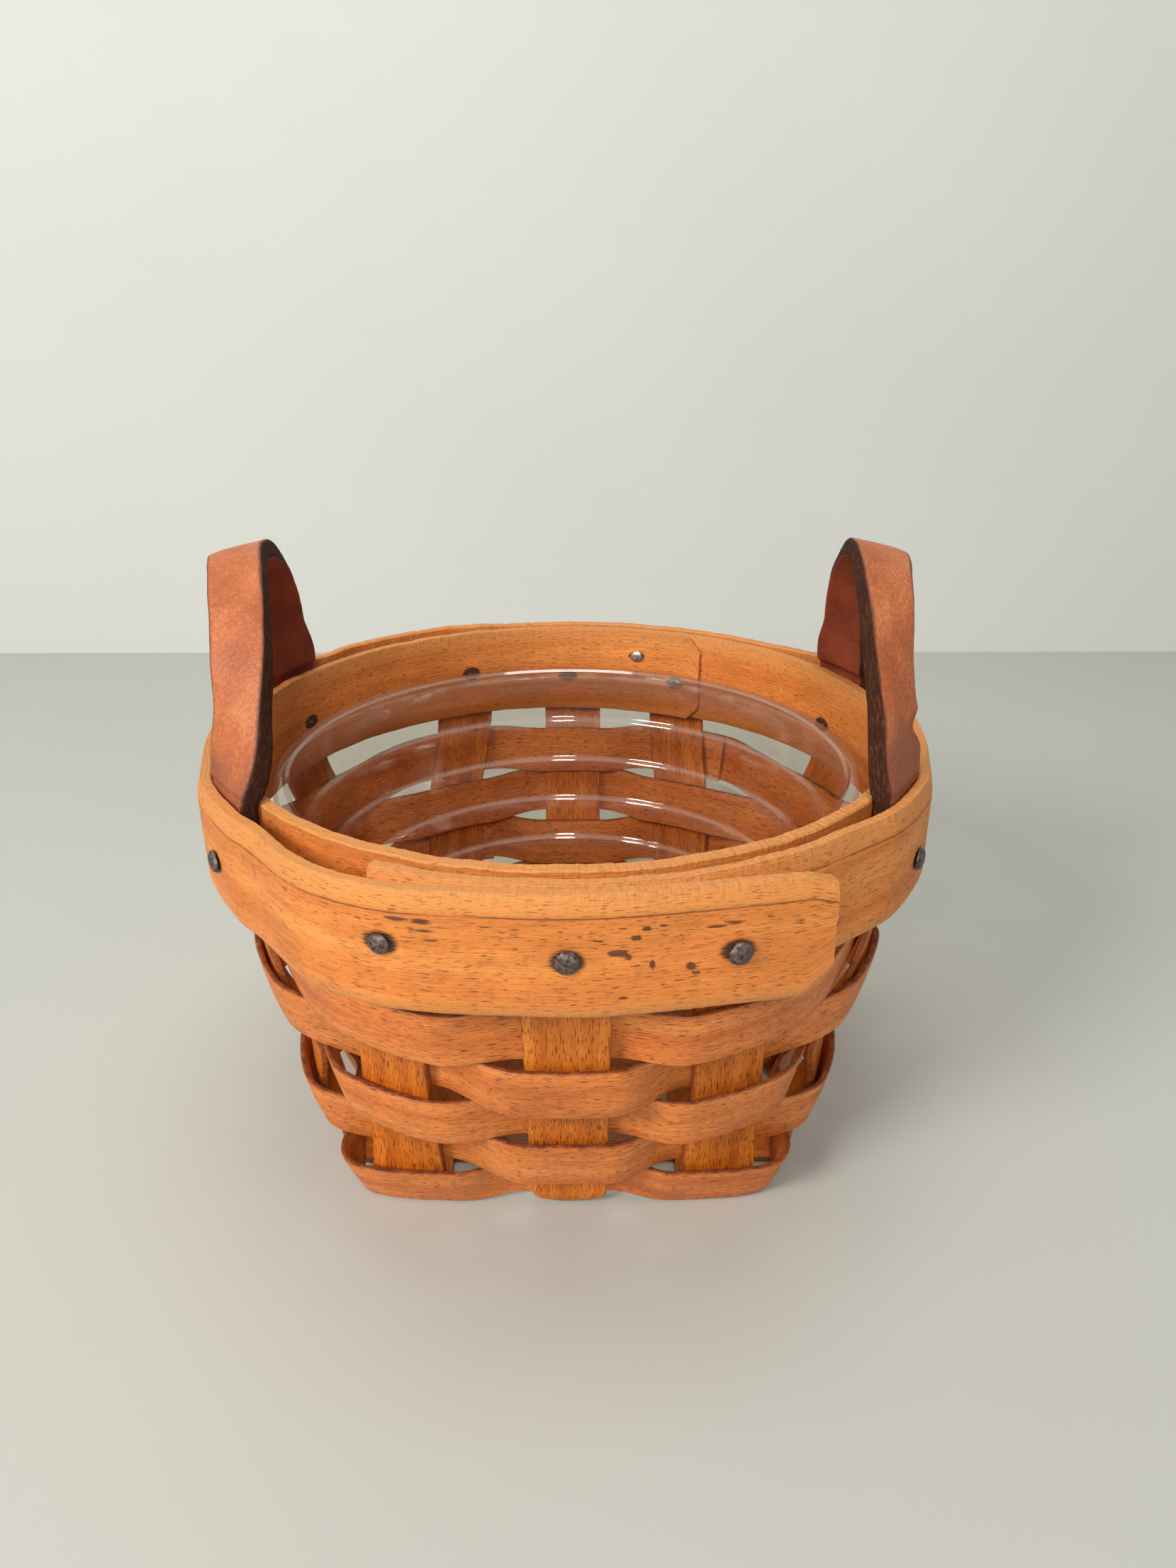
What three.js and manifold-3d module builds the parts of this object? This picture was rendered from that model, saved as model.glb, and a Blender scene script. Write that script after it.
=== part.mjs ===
// A small splint basket: square plaited floor, round rim, two leather ears and a clear drop-in liner.
// Millimetres, +Z up, origin on the floor under the middle of the basket. The front is on -Y.
import * as THREE from 'three';
import { mergeVertices } from 'three/addons/utils/BufferGeometryUtils.js';
import Module from 'manifold-3d';

const wasm = await Module();
wasm.setup();

// Driving dimensions of the wall
const floorHalfWidth = 44.0; // middle of the wall splints, at the floor
const rimHalfWidth = 70.2; // middle of the wall splints, between the hoops
const flareCurve = 1.27; // above 1 the wall bows outwards
const floorCorner = 0.02; // 1 / exponent of the plan: 0.5 is a circle, 0 is a square
const rimCorner = 0.5;
const cornerCurve = 2.6; // how soon the square plan turns round on the way up
const sideBow = 0.03; // how much further out the middle of a side stands, near the floor

// Driving dimensions of the splints
const splintWidth = 15.0;
const splintThickness = 1.5;
const weaverHeight = 11.7;
const weaverThickness = 1.3;
const weaverGap = 0.3; // between one row and the next
const weaveClearance = 0.45; // between a weaver and an upright that it passes
const lowestWave = 2.95; // how far the lower rows stand out of or into the middle of the wall
const highestWave = 2.45;
const bottomEdgeWave = 0.9; // the same at the lowest row's bottom edge, which runs nearly straight
const weaverFlat = 0.33; // most of the way to the next upright on which a weaver keeps level
const weaverLean = 0.6; // lean of a weaver, as a part of the wall's own lean
const rowCount = 5;
const rowPitch = weaverHeight + weaverGap;
const lowestRowBottom = 0.4;
const weaverLap = 20.0; // degrees over which a row lies over its own start
const weaverRamp = 10.0; // degrees in which it climbs there
const weaverSteps = 88;
const splintTop = 84.0;
const splintStep = 3.7; // height of one facet of an upright
const foldHeight = 2.5; // where an upright starts to bend into the floor
const foldReach = 1.3; // where the bend ends, in from the corner
const plaitGap = 0.35; // between crossing splints in the floor
const plaitFlat = 0.6; // level stretch beyond each edge of the splint that is crossed

// Places of the splints: X of those that run front to back, Y of those that run left to right
const frontBackPlaces = [-31.5, 0.5, 30.0];
const leftRightPlaces = [-28.5, 0.0, 28.5];
const frontBackRimPlaces = [-28.5, 0.5, 28.5]; // the tops drift along the rim
const leftRightRimPlaces = [-23.0, 0.0, 28.5];
const driftStart = 40.0; // height at which they start to drift

// Driving dimensions of the rim
const rimTop = 88.0;
const hoopHeight = 22.2;
const hoopThickness = 2.9;
const hoopClearance = 0.3;
const hoopBottom = rimTop - hoopHeight;
const hoopLowBevel = 3.0; // height of the bevel along a hoop's lower edge
const hoopHighBevel = 3.5;
const outerHoopRounding = 0.9; // depth of the bevels
const innerHoopRounding = 0.5;
const hoopFacet = 5.0; // degrees
const innerHoopThickness = 2.8;
const innerWedge = 0.75; // thin end of the inner hoop's wedged ends
const outerLapStart = -114.6; // degrees from +X: the under end of the outer hoop
const outerLapEnd = -58.2; // the over end
const outerLapSpring = 5.2; // how far the over end springs away
const outerSpringSpan = 24.0; // degrees over which it does
const outerClimbStart = 31.0; // degrees before the under end where the over end starts to climb
const outerClimbSpan = 29.0;
const outerStepBulge = 2.4; // the over end's swell where it has climbed onto the under end
const outerBulgeMiddle = 2.0; // degrees before the under end
const outerBulgeFlat = 3.0;
const outerBulgeFall = 18.0;
const innerLapStart = 59.3; // degrees: the over end of the inner hoop, seen inside the back
const innerLapEnd = 104.0;
const legFlat = 7.2; // degrees to each side of a leather leg
const looseBack = 126.0; // degrees: where the outer hoop stands loose
const looseBackFlat = 12.0;
const looseBackGap = 3.2;
const cornerClip = 3.6; // clipped corners of the hoop ends
const cornerClipSpan = 2.8; // degrees

// Driving dimensions of the leather ears
const strapWidth = 11.1; // at the top of the ear
const tabWidth = 16.0; // where it is tucked into the rim
const strapThickness = 4.0; // at the top of the ear
const strapFootThickness = 4.5;
const tabThickness = 3.2; // pinched by the rim
const strapChamfer = 0.8;
const earHeight = 34.5; // top of the strap's middle line above the rim
const earTilt = 13; // degrees: the inner edge of the strap is the higher one
const earPoint = 1.75; // 1 would be a round arch, more makes the legs straighter and the top narrower
const frontWaistLeft = 2.6; // how far the legs bend in towards the basket on their way up
const frontWaistRight = 1.1;
const earLeanLeft = -1.2; // how far the top stands in towards the basket
const earLeanRight = 1.0;
const frontTwistLeft = 5; // the higher, the nearer to its foot a leg turns to lie along the rim
const frontTwistRight = 1.35;
const backTwist = 1.6;
const backWaist = 1.3;
const earSwingOut = 30; // degrees: the foot is cut to bend this far
const earSwingIn = 5;
const earFacets = 26;
const footTurn = 12; // degrees of the arch that its tabs stand in for
const footGap = 0.5;
const tabDepth = 19.5; // leather tucked between the hoops
const tabFacets = 4;
const frontLegGapLeft = 2.2; // along the rim, from the foremost side splint to the leg beside it
const frontLegGapRight = 0.97;
const backLegShiftLeft = 1.08; // along the rim, from the middle of the rearmost side splint
const backLegShiftRight = 2.6;

// Driving dimensions of the tacks
const tackHeadRadius = 2.4;
const tackHeadHeight = 1.1;
const tackShankRadius = 0.6;
const tackHoleRadius = 0.95;
const tackHoleLength = 40.0;
const tackTip = 0.8; // shank standing proud on the inside
const tackSeat = 0.2; // under the head

// Driving dimensions of the liner
const linerLipGap = 3.9; // from the lip to the innermost face of the inner hoop
const linerLipDrop = 8.8; // from the rim's top down to the lip's
const linerLipDepth = 3.2;
const linerLipWidth = 2.2;
const linerWall = 1.6;
const linerFloorGap = 4.5; // from the middle of the wall splints at the floor
const linerFloorEdge = 3.0; // bevel round the floor
const linerSteps = 6;
const linerStepOut = 0.9;
const linerStepShift = 0.1; // of the height between steps
const linerStepDrop = 0.8;
const linerSeat = 0.3;
const linerFacets = 36;

const innerSeat = rimHalfWidth - splintThickness / 2 - hoopClearance; // outer face of the inner hoop
const linerLipRadius = innerSeat - innerHoopThickness - innerWedge - hoopClearance - linerLipGap;
const linerLipTop = rimTop - linerLipDrop;
const linerFloorRadius = floorHalfWidth - linerFloorGap;
const uprightCount = 12;
const perSide = 3;
const radians = THREE.MathUtils.degToRad;
const degrees = THREE.MathUtils.radToDeg;
const up = new THREE.Vector3(0, 0, 1);

// Angles of the leather legs round the rim, and of the splints' tops that they stand beside or outside
const frontEdge = degrees(Math.asin(-leftRightRimPlaces[0] / rimHalfWidth));
const backEdge = degrees(Math.asin(leftRightRimPlaces[2] / rimHalfWidth));
const legBeside = (splintWidth + tabWidth) / 2;
const frontLegLeft = -180 + frontEdge + degrees((legBeside + frontLegGapLeft) / tabRadius(true));
const frontLegRight = -frontEdge - degrees((legBeside + frontLegGapRight) / tabRadius(true));
const backLegLeft = 180 - backEdge - degrees(backLegShiftLeft / tabRadius(false));
const backLegRight = backEdge + degrees(backLegShiftRight / tabRadius(false));

function material(color, roughness, metalness = 0) {
  return new THREE.MeshStandardMaterial({ color, roughness, metalness });
}
const splintWood = material(0xc98646, 0.55);
const weaverWood = material(0xcf8f57, 0.5);
const hoopWood = material(0xcb8243, 0.48);
const leather = material(0xa85f3c, 0.6);
const iron = material(0x4a4650, 0.5, 0.7);
const steel = material(0xb8b8b8, 0.3, 0.9);
const clearPlastic = new THREE.MeshStandardMaterial({
  color: 0xe6dcd6,
  roughness: 0.1,
  metalness: 0,
  transparent: true,
  opacity: 0.35,
});

const basket = new THREE.Group();

function place(name, geometry, look, parent = basket) {
  const mesh = new THREE.Mesh(geometry, look);
  mesh.name = name;
  parent.add(mesh);
  return mesh;
}

// A closed body through like sections, with flat ends
function loft(sections) {
  const count = sections[0].length;
  const positions = sections.flat().flatMap((point) => [point.x, point.y, point.z]);
  const index = [];
  const last = (sections.length - 1) * count;
  for (let here = 0; here < last; here += count) {
    const next = here + count;
    for (let j = 0; j < count; j += 1) {
      const k = (j + 1) % count;
      index.push(here + j, next + j, next + k);
      index.push(here + j, next + k, here + k);
    }
  }
  for (let j = 1; j < count - 1; j += 1) {
    index.push(0, j, j + 1);
    index.push(last, last + j + 1, last + j);
  }
  const geometry = new THREE.BufferGeometry();
  geometry.setAttribute('position', new THREE.Float32BufferAttribute(positions, 3));
  geometry.setIndex(index);
  return facingOut(geometry);
}

// Turns every face the other way where the body's volume comes out negative
function facingOut(geometry) {
  const position = geometry.getAttribute('position');
  const index = geometry.getIndex().array;
  const corner = [new THREE.Vector3(), new THREE.Vector3(), new THREE.Vector3()];
  let volume = 0;
  for (let i = 0; i < index.length; i += 3) {
    corner.forEach((point, j) => point.fromBufferAttribute(position, index[i + j]));
    volume += corner[0].dot(corner[1].clone().cross(corner[2]));
  }
  if (volume < 0) {
    for (let i = 0; i < index.length; i += 3) {
      [index[i], index[i + 1]] = [index[i + 1], index[i]];
    }
  }
  geometry.computeVertexNormals();
  return geometry;
}

function solidOf(geometry) {
  const bare = geometry.clone();
  bare.deleteAttribute('normal');
  bare.deleteAttribute('uv');
  const merged = mergeVertices(bare, 1e-4);
  return new wasm.Manifold(new wasm.Mesh({
    numProp: 3,
    vertProperties: new Float32Array(merged.getAttribute('position').array),
    triVerts: new Uint32Array(merged.getIndex().array),
  }));
}

function geometryOf(solid) {
  const mesh = solid.getMesh();
  const geometry = new THREE.BufferGeometry();
  geometry.setAttribute('position', new THREE.Float32BufferAttribute(mesh.vertProperties, 3));
  geometry.setIndex(Array.from(mesh.triVerts));
  geometry.computeVertexNormals();
  return geometry;
}

function smooth(t) {
  const u = THREE.MathUtils.clamp(t, 0, 1);
  return u * u * (3 - 2 * u);
}

// The middle surface of the wall
function halfWidth(z) {
  const t = THREE.MathUtils.clamp(z / hoopBottom, 0, 1);
  return floorHalfWidth + (rimHalfWidth - floorHalfWidth) * (1 - (1 - t) ** flareCurve);
}

function planRadius(angle, z) {
  const t = THREE.MathUtils.clamp(z / hoopBottom, 0, 1);
  const power = floorCorner + (rimCorner - floorCorner) * (1 - (1 - t) ** cornerCurve);
  const share = (part) => Math.abs(part) ** (1 / power);
  const bow = 1 + sideBow * (1 - t) ** 1.5 * Math.cos(2 * angle) ** 2;
  return halfWidth(z) * bow / (share(Math.cos(angle)) + share(Math.sin(angle))) ** power;
}

// The angle round the wall of a place across one side
function sideAngle(side, across, z) {
  let turn = 0;
  for (let i = 0; i < 12; i += 1) turn = Math.asin(across / planRadius(turn, z));
  return side * Math.PI / 2 + turn;
}

// A point off the wall's middle surface, from its angle round the wall and its distance outwards
function wallPoint(angle, plan, outwards, z) {
  const onPlan = (turn) => {
    const radius = planRadius(turn, plan);
    return new THREE.Vector3(radius * Math.cos(turn), radius * Math.sin(turn), 0);
  };
  const along = onPlan(angle + 0.02).sub(onPlan(angle - 0.02)).normalize();
  return onPlan(angle).add(new THREE.Vector3(along.y, -along.x, 0).multiplyScalar(outwards)).setZ(z);
}

function wallLean(z) {
  return (halfWidth(z + 1) - halfWidth(z - 1)) / 2;
}

// How far from the basket's middle that surface, moved outwards, lies at a place across one side
function depthAt(side, across, plan, outwards) {
  const point = new THREE.Vector3();
  let place = across;
  for (let i = 0; i < 6; i += 1) {
    point.copy(wallPoint(sideAngle(side, place, plan), plan, outwards, 0));
    point.applyAxisAngle(up, -side * Math.PI / 2);
    place += across - point.y;
  }
  return point.x;
}

// The rows of weavers, from the floor up
const rows = [];
for (let i = 0; i < rowCount; i += 1) {
  const bottom = lowestRowBottom + i * rowPitch;
  const middle = bottom + weaverHeight / 2;
  const wave = lowestWave + (highestWave - lowestWave) * i / (rowCount - 1);
  rows.push({
    number: i + 1,
    bottom,
    top: bottom + weaverHeight,
    middle,
    bottomWave: i === 0 ? bottomEdgeWave : wave,
    topWave: wave,
    lean: weaverLean * wallLean(middle),
    lift: i === 0 ? splintThickness + hoopClearance - lowestRowBottom : 0,
  });
}

// The uprights in order round the wall: right, back, left and front sides. Odd rows pass outside the
// odd uprights and even rows outside the even ones, where rows count from 1 and uprights from 0.
function acrossOf(upright, z) {
  const side = Math.floor(upright / perSide);
  const [low, high] = side % 2 === 0
    ? [leftRightPlaces, leftRightRimPlaces]
    : [frontBackPlaces, frontBackRimPlaces];
  const turnedRound = side === 1 || side === 2;
  const i = turnedRound ? perSide - 1 - upright % perSide : upright % perSide;
  const drift = smooth((z - driftStart) / (hoopBottom - driftStart));
  const drifted = low[i] + (high[i] - low[i]) * drift;
  return turnedRound ? -drifted : drifted;
}

function passesOutside(row, upright) {
  return (row.number % 2 === 1) === (upright % 2 === 1);
}

function uprightAngle(upright, z) {
  return sideAngle(Math.floor(upright / perSide), acrossOf(upright, z), z);
}

// How far a row stands out of or into the middle of the wall
function waveAt(row, angle) {
  const knots = [];
  for (let upright = 0; upright < uprightCount; upright += 1) {
    const sign = passesOutside(row, upright) ? 1 : -1;
    knots.push({ angle: uprightAngle(upright, row.middle), sign });
  }
  const first = knots[0].angle;
  const turned = first + THREE.MathUtils.euclideanModulo(angle - first, 2 * Math.PI);
  knots.push({ angle: first + 2 * Math.PI, sign: knots[0].sign });
  let i = 0;
  while (i < uprightCount - 1 && knots[i + 1].angle < turned) i += 1;
  const span = knots[i + 1].angle - knots[i].angle;
  const way = (turned - knots[i].angle) / span;
  const beside = Math.asin((splintWidth / 2 + weaveClearance) / planRadius(angle, row.middle));
  const flat = Math.min(weaverFlat, beside / span);
  const t = smooth((way - flat) / (1 - 2 * flat));
  return knots[i].sign + (knots[i + 1].sign - knots[i].sign) * t;
}

// Distance of an upright from the basket's middle, off its middle line by an offset across the side.
// Each row presses it the other way.
function uprightDepth(upright, offset, z) {
  const side = Math.floor(upright / perSide);
  const rest = splintThickness / 2 + weaverThickness / 2 + weaveClearance;
  const knots = rows.map((row) => {
    const sign = passesOutside(row, upright) ? 1 : -1;
    const across = acrossOf(upright, row.middle) + offset;
    const outwards = sign * ((row.bottomWave + row.topWave) / 2 - rest);
    const lean = row.lean + sign * (row.topWave - row.bottomWave) / weaverHeight;
    const depth = depthAt(side, across, row.middle, outwards);
    return { z: row.middle, depth, lean: depthAt(side, across, row.middle, outwards + lean) - depth };
  });
  const top = acrossOf(upright, hoopBottom) + offset;
  knots.push({ z: hoopBottom, depth: depthAt(side, top, hoopBottom, 0), lean: 0 });
  return depthThrough(knots, z);
}

function depthThrough(knots, z) {
  const last = knots[knots.length - 1];
  if (z >= last.z) return last.depth;
  if (z <= knots[0].z) return knots[0].depth + knots[0].lean * (z - knots[0].z);
  let i = 0;
  while (knots[i + 1].z < z) i += 1;
  const span = knots[i + 1].z - knots[i].z;
  const t = (z - knots[i].z) / span;
  const from = (1 + 2 * t) * knots[i].depth + t * span * knots[i].lean;
  const to = (3 - 2 * t) * knots[i + 1].depth - (1 - t) * span * knots[i + 1].lean;
  return from * (1 - t) ** 2 + to * t ** 2;
}

// A wall upright from its top down to the fold: the middle line with its two edges
function uprightStations(upright) {
  const turn = Math.floor(upright / perSide) * Math.PI / 2;
  const heights = [splintTop, (splintTop + hoopBottom) / 2];
  for (let z = hoopBottom; z > foldHeight; z -= splintStep) heights.push(z);
  return heights.map((z) => {
    const at = (offset) => {
      const depth = uprightDepth(upright, offset, z);
      return new THREE.Vector3(depth, acrossOf(upright, z) + offset, z).applyAxisAngle(up, turn);
    };
    const reach = splintWidth / 2 / at(1).distanceTo(at(0));
    return [-reach, 0, reach].map(at);
  });
}

// Floor of a splint: over or under each of the three splints that it crosses
function floorStations(from, to, crossings, overs) {
  const lower = splintThickness / 2;
  const upper = lower + splintThickness + plaitGap;
  const along = to.clone().sub(from);
  const length = along.length();
  along.normalize();
  const aside = new THREE.Vector3().crossVectors(up, along);
  const flat = splintWidth / 2 + plaitFlat;
  const stations = [];
  crossings.forEach((distance, i) => {
    const level = overs[i] ? upper : lower;
    [distance - flat, distance + flat].forEach((s) => stations.push({ s, level }));
  });
  const middles = [];
  for (let i = 0; i + 1 < stations.length; i += 1) {
    const a = stations[i];
    const b = stations[i + 1];
    middles.push(a);
    if (a.level !== b.level) {
      [0.25, 0.5, 0.75].forEach((t) => {
        middles.push({ s: a.s + (b.s - a.s) * t, level: a.level + (b.level - a.level) * smooth(t) });
      });
    }
  }
  middles.push(stations[stations.length - 1]);
  const ends = [{ s: foldReach, level: lower }, { s: length - foldReach, level: lower }];
  return [ends[0], ...middles, ends[1]].map(({ s, level }) => {
    const centre = from.clone().addScaledVector(along, s).setZ(level);
    return [-1, 0, 1].map((edge) => centre.clone().addScaledVector(aside, edge * splintWidth / 2));
  });
}

// Where an upright's own line would meet the floor
function knee(stations) {
  const above = stations[stations.length - 2];
  const last = stations[stations.length - 1];
  return last.map((low, i) => {
    const drop = (low.z - splintThickness / 2) / (above[i].z - low.z);
    return low.clone().addScaledVector(low.clone().sub(above[i]), drop);
  });
}

// Rounded fold from the wall down into the floor
function foldStations(wall, corner, floor) {
  return [0.25, 0.5, 0.75].map((t) => wall.map((high, i) => {
    const a = high.clone().lerp(corner[i], t);
    const b = corner[i].clone().lerp(floor[i], t);
    return a.lerp(b, t);
  }));
}

// A flat strip of one thickness about a run of three-point stations
function strip(stations, thickness) {
  const sections = stations.map(([left, middle, right], i) => {
    const before = stations[Math.max(i - 1, 0)][1];
    const after = stations[Math.min(i + 1, stations.length - 1)][1];
    const along = after.clone().sub(before).normalize();
    const normal = new THREE.Vector3().crossVectors(along, right.clone().sub(left)).normalize();
    const shift = normal.multiplyScalar(thickness / 2);
    return [
      left.clone().add(shift), middle.clone().add(shift), right.clone().add(shift),
      right.clone().sub(shift), middle.clone().sub(shift), left.clone().sub(shift),
    ];
  });
  return loft(sections);
}

// One splint: down one wall, across the floor and up the opposite wall
function wallSplint(startUpright, endUpright, crossings, overs) {
  const start = uprightStations(startUpright);
  const end = uprightStations(endUpright);
  const corner = knee(start);
  const endCorner = knee(end);
  const axis = startUpright < 3 * perSide ? 'x' : 'y';
  const distances = crossings.map((crossing) => crossing - corner[1][axis]);
  const floor = floorStations(corner[1], endCorner[1], distances, overs);
  const fold = foldStations(start[start.length - 1], corner, floor[0]);
  const flipped = (points) => points.slice().reverse();
  const last = flipped(floor[floor.length - 1]);
  const endFold = foldStations(end[end.length - 1], endCorner, last).map(flipped).reverse();
  return strip([...start, ...fold, ...floor, ...endFold, ...end.map(flipped).reverse()], splintThickness);
}

// A row's middle line leans with the wall, and laps over its own start behind one outside upright
function weaver(row, lapUpright) {
  const lap = radians(weaverLap);
  const ramp = radians(weaverRamp);
  const start = uprightAngle(lapUpright, row.middle) - lap / 2;
  const end = start + lap + 2 * Math.PI;
  const rampStart = end - lap - ramp;
  const lift = weaverThickness + hoopClearance;
  const sections = [];
  for (let i = 0; i <= weaverSteps; i += 1) {
    const angle = start + (end - start) * i / weaverSteps;
    const wave = waveAt(row, angle);
    const lapLift = lift * smooth((angle - rampStart) / (ramp * 0.9));
    const bottom = row.bottom + row.lift * (1 - wave) / 2;
    const lean = row.lean * weaverHeight / 2;
    const low = wave * row.bottomWave + lapLift - lean;
    const high = wave * row.topWave + lapLift + lean;
    const corners = [
      [low + weaverThickness / 2, bottom],
      [high + weaverThickness / 2, row.top],
      [high - weaverThickness / 2, row.top],
      [low - weaverThickness / 2, bottom],
    ];
    sections.push(corners.map(([outwards, z]) => wallPoint(angle, row.middle, outwards, z)));
  }
  return loft(sections);
}

// A smooth rise of 1 about an angle round the rim, in degrees
function swell(angle, centre, flat, fall) {
  const away = Math.abs(THREE.MathUtils.euclideanModulo(angle - centre + 180, 360) - 180);
  return 1 - smooth((away - flat) / fall);
}

// A hoop pushed out to a height over a stretch of the rim, and straight from there back to the round
function pushedOut(angle, seat, centre, flat, height) {
  const away = Math.abs(THREE.MathUtils.euclideanModulo(angle - centre + 180, 360) - 180);
  const span = Math.acos(seat / (seat + height));
  const left = span - radians(Math.max(0, away - flat));
  return left > 0 ? seat / Math.cos(left) : seat;
}

// The inner face of the outer hoop, pushed out by the leather and standing loose at the back left
function outerHoopFace(angle) {
  const seat = rimHalfWidth + splintThickness / 2 + hoopClearance;
  const overSplint = tabRadius(false) + tabThickness / 2 + hoopClearance - seat;
  const beside = tabRadius(true) + tabThickness / 2 + hoopClearance - seat;
  return Math.max(
    pushedOut(angle, seat, frontLegLeft, legFlat, beside),
    pushedOut(angle, seat, frontLegRight, legFlat, beside),
    pushedOut(angle, seat, backLegLeft, legFlat, overSplint),
    pushedOut(angle, seat, backLegRight, legFlat, overSplint),
    pushedOut(angle, seat, looseBack, looseBackFlat, looseBackGap),
  );
}

// Six corners of a hoop at one angle, with the two far from its bare face bevelled
function hoopSection(angle, bare, far, low, high, rounding) {
  const corners = [
    [bare, low],
    [far - rounding, low],
    [far, low + hoopLowBevel],
    [far, high - hoopHighBevel],
    [far - rounding, high],
    [bare, high],
  ];
  return corners.map(([radius, z]) => polar(angle, radius, z));
}

// Angles of a hoop's sections from end to end, with the corners that the leather gives it
function hoopAngles(start, end, corners = []) {
  const clip = cornerClipSpan;
  const angles = [start, start + clip / 2, start + clip, end - clip, end - clip / 2, end];
  const add = (angle) => {
    if (angle > start + clip + 0.7 && angle < end - clip - 0.7) angles.push(angle);
  };
  for (let angle = start + hoopFacet; angle < end; angle += hoopFacet) add(angle);
  corners.forEach((corner) => [-360, 0, 360].forEach((turn) => add(corner + turn)));
  return angles.sort((a, b) => a - b);
}

// Clipped corners: how much height a hoop end has lost at a distance from it, in degrees
function clipAt(distance) {
  return cornerClip * (1 - THREE.MathUtils.clamp(distance / cornerClipSpan, 0, 1));
}

// Inner face of the outer hoop along its own run, which goes more than once round
function outerHoopRun(angle) {
  const end = outerLapEnd + 360;
  const underEnd = outerLapStart + 360;
  const over = angle > underEnd - outerClimbStart - outerBulgeFall;
  const climb = smooth((angle - (underEnd - outerClimbStart)) / outerClimbSpan);
  const bulge = over ? swell(angle, underEnd - outerBulgeMiddle, outerBulgeFlat, outerBulgeFall) : 0;
  const spring = Math.max(0, (angle - (end - outerSpringSpan)) / outerSpringSpan) ** 2;
  const lifted = (hoopThickness + hoopClearance) * climb + outerStepBulge * bulge + outerLapSpring * spring;
  return outerHoopFace(angle) + lifted;
}

function outerHoop() {
  const end = outerLapEnd + 360;
  const legs = [frontLegLeft, frontLegRight, backLegLeft, backLegRight];
  const corners = legs.flatMap((leg) => [leg - legFlat, leg + legFlat]);
  const sections = hoopAngles(outerLapStart, end, corners).map((angle) => {
    const face = outerHoopRun(angle);
    const low = hoopBottom + clipAt(end - angle);
    const high = rimTop - clipAt(end - angle) * 0.35;
    return hoopSection(angle, face, face + hoopThickness, low, high, outerHoopRounding);
  });
  return loft(sections);
}

// The inner hoop's ends are shaved to wedges where they lap, so the hoop stays about one thickness
function innerHoopFace(angle) {
  const lap = innerLapEnd - innerLapStart;
  const along = THREE.MathUtils.clamp((angle - innerLapStart) / lap, 0, 1);
  return innerSeat - innerHoopThickness - (innerWedge + hoopClearance) * (1 - along);
}

function innerHoop() {
  const lap = innerLapEnd - innerLapStart;
  const sections = hoopAngles(innerLapStart, innerLapEnd + 360).map((angle) => {
    const along = THREE.MathUtils.clamp((angle - innerLapStart) / lap, 0, 1);
    const behind = THREE.MathUtils.clamp((angle - 360 - innerLapStart) / lap, 0, 1);
    const start = innerSeat - innerHoopThickness - hoopClearance;
    const bare = start + (innerSeat - start) * smooth(along);
    const whole = innerHoopFace(angle);
    const far = whole + (innerSeat - innerWedge - whole) * smooth(behind);
    const clip = clipAt(angle - innerLapStart);
    return hoopSection(angle, bare, far, hoopBottom + clip, rimTop - clip, -innerHoopRounding);
  });
  return loft(sections);
}

// A front leg lies against the inner hoop beside the splint, a back leg outside the splint
function tabRadius(frontLeg) {
  const beside = rimHalfWidth - splintThickness / 2 + tabThickness / 2;
  return frontLeg ? beside : beside + splintThickness + hoopClearance;
}

// One ear: an arch between its two feet, turned at the feet to lie along the round rim
function earFrame(frontAngle, backAngle) {
  const front = polar(frontAngle, tabRadius(true), rimTop);
  const back = polar(backAngle, tabRadius(false), rimTop);
  const centre = front.clone().add(back).multiplyScalar(0.5);
  const toFront = front.clone().sub(back).normalize();
  const inward = new THREE.Vector3().crossVectors(up, toFront);
  if (inward.dot(centre) > 0) inward.negate();
  return { front, back, centre, toFront, inward, reach: front.distanceTo(back) / 2 };
}

function polar(angle, radius, z) {
  return new THREE.Vector3(radius * Math.cos(radians(angle)), radius * Math.sin(radians(angle)), z);
}

function tangentOf(angle) {
  return new THREE.Vector3(-Math.sin(radians(angle)), Math.cos(radians(angle)), 0);
}

function strapSection(centre, across, normal, width, thickness) {
  const half = width / 2;
  const thick = thickness / 2;
  const corners = [
    [-half + strapChamfer, -thick], [half - strapChamfer, -thick],
    [half, -thick + strapChamfer], [half, thick - strapChamfer],
    [half - strapChamfer, thick], [-half + strapChamfer, thick],
    [-half, thick - strapChamfer], [-half, -thick + strapChamfer],
  ];
  return corners.map(([a, b]) => centre.clone().addScaledVector(across, a).addScaledVector(normal, b));
}

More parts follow.
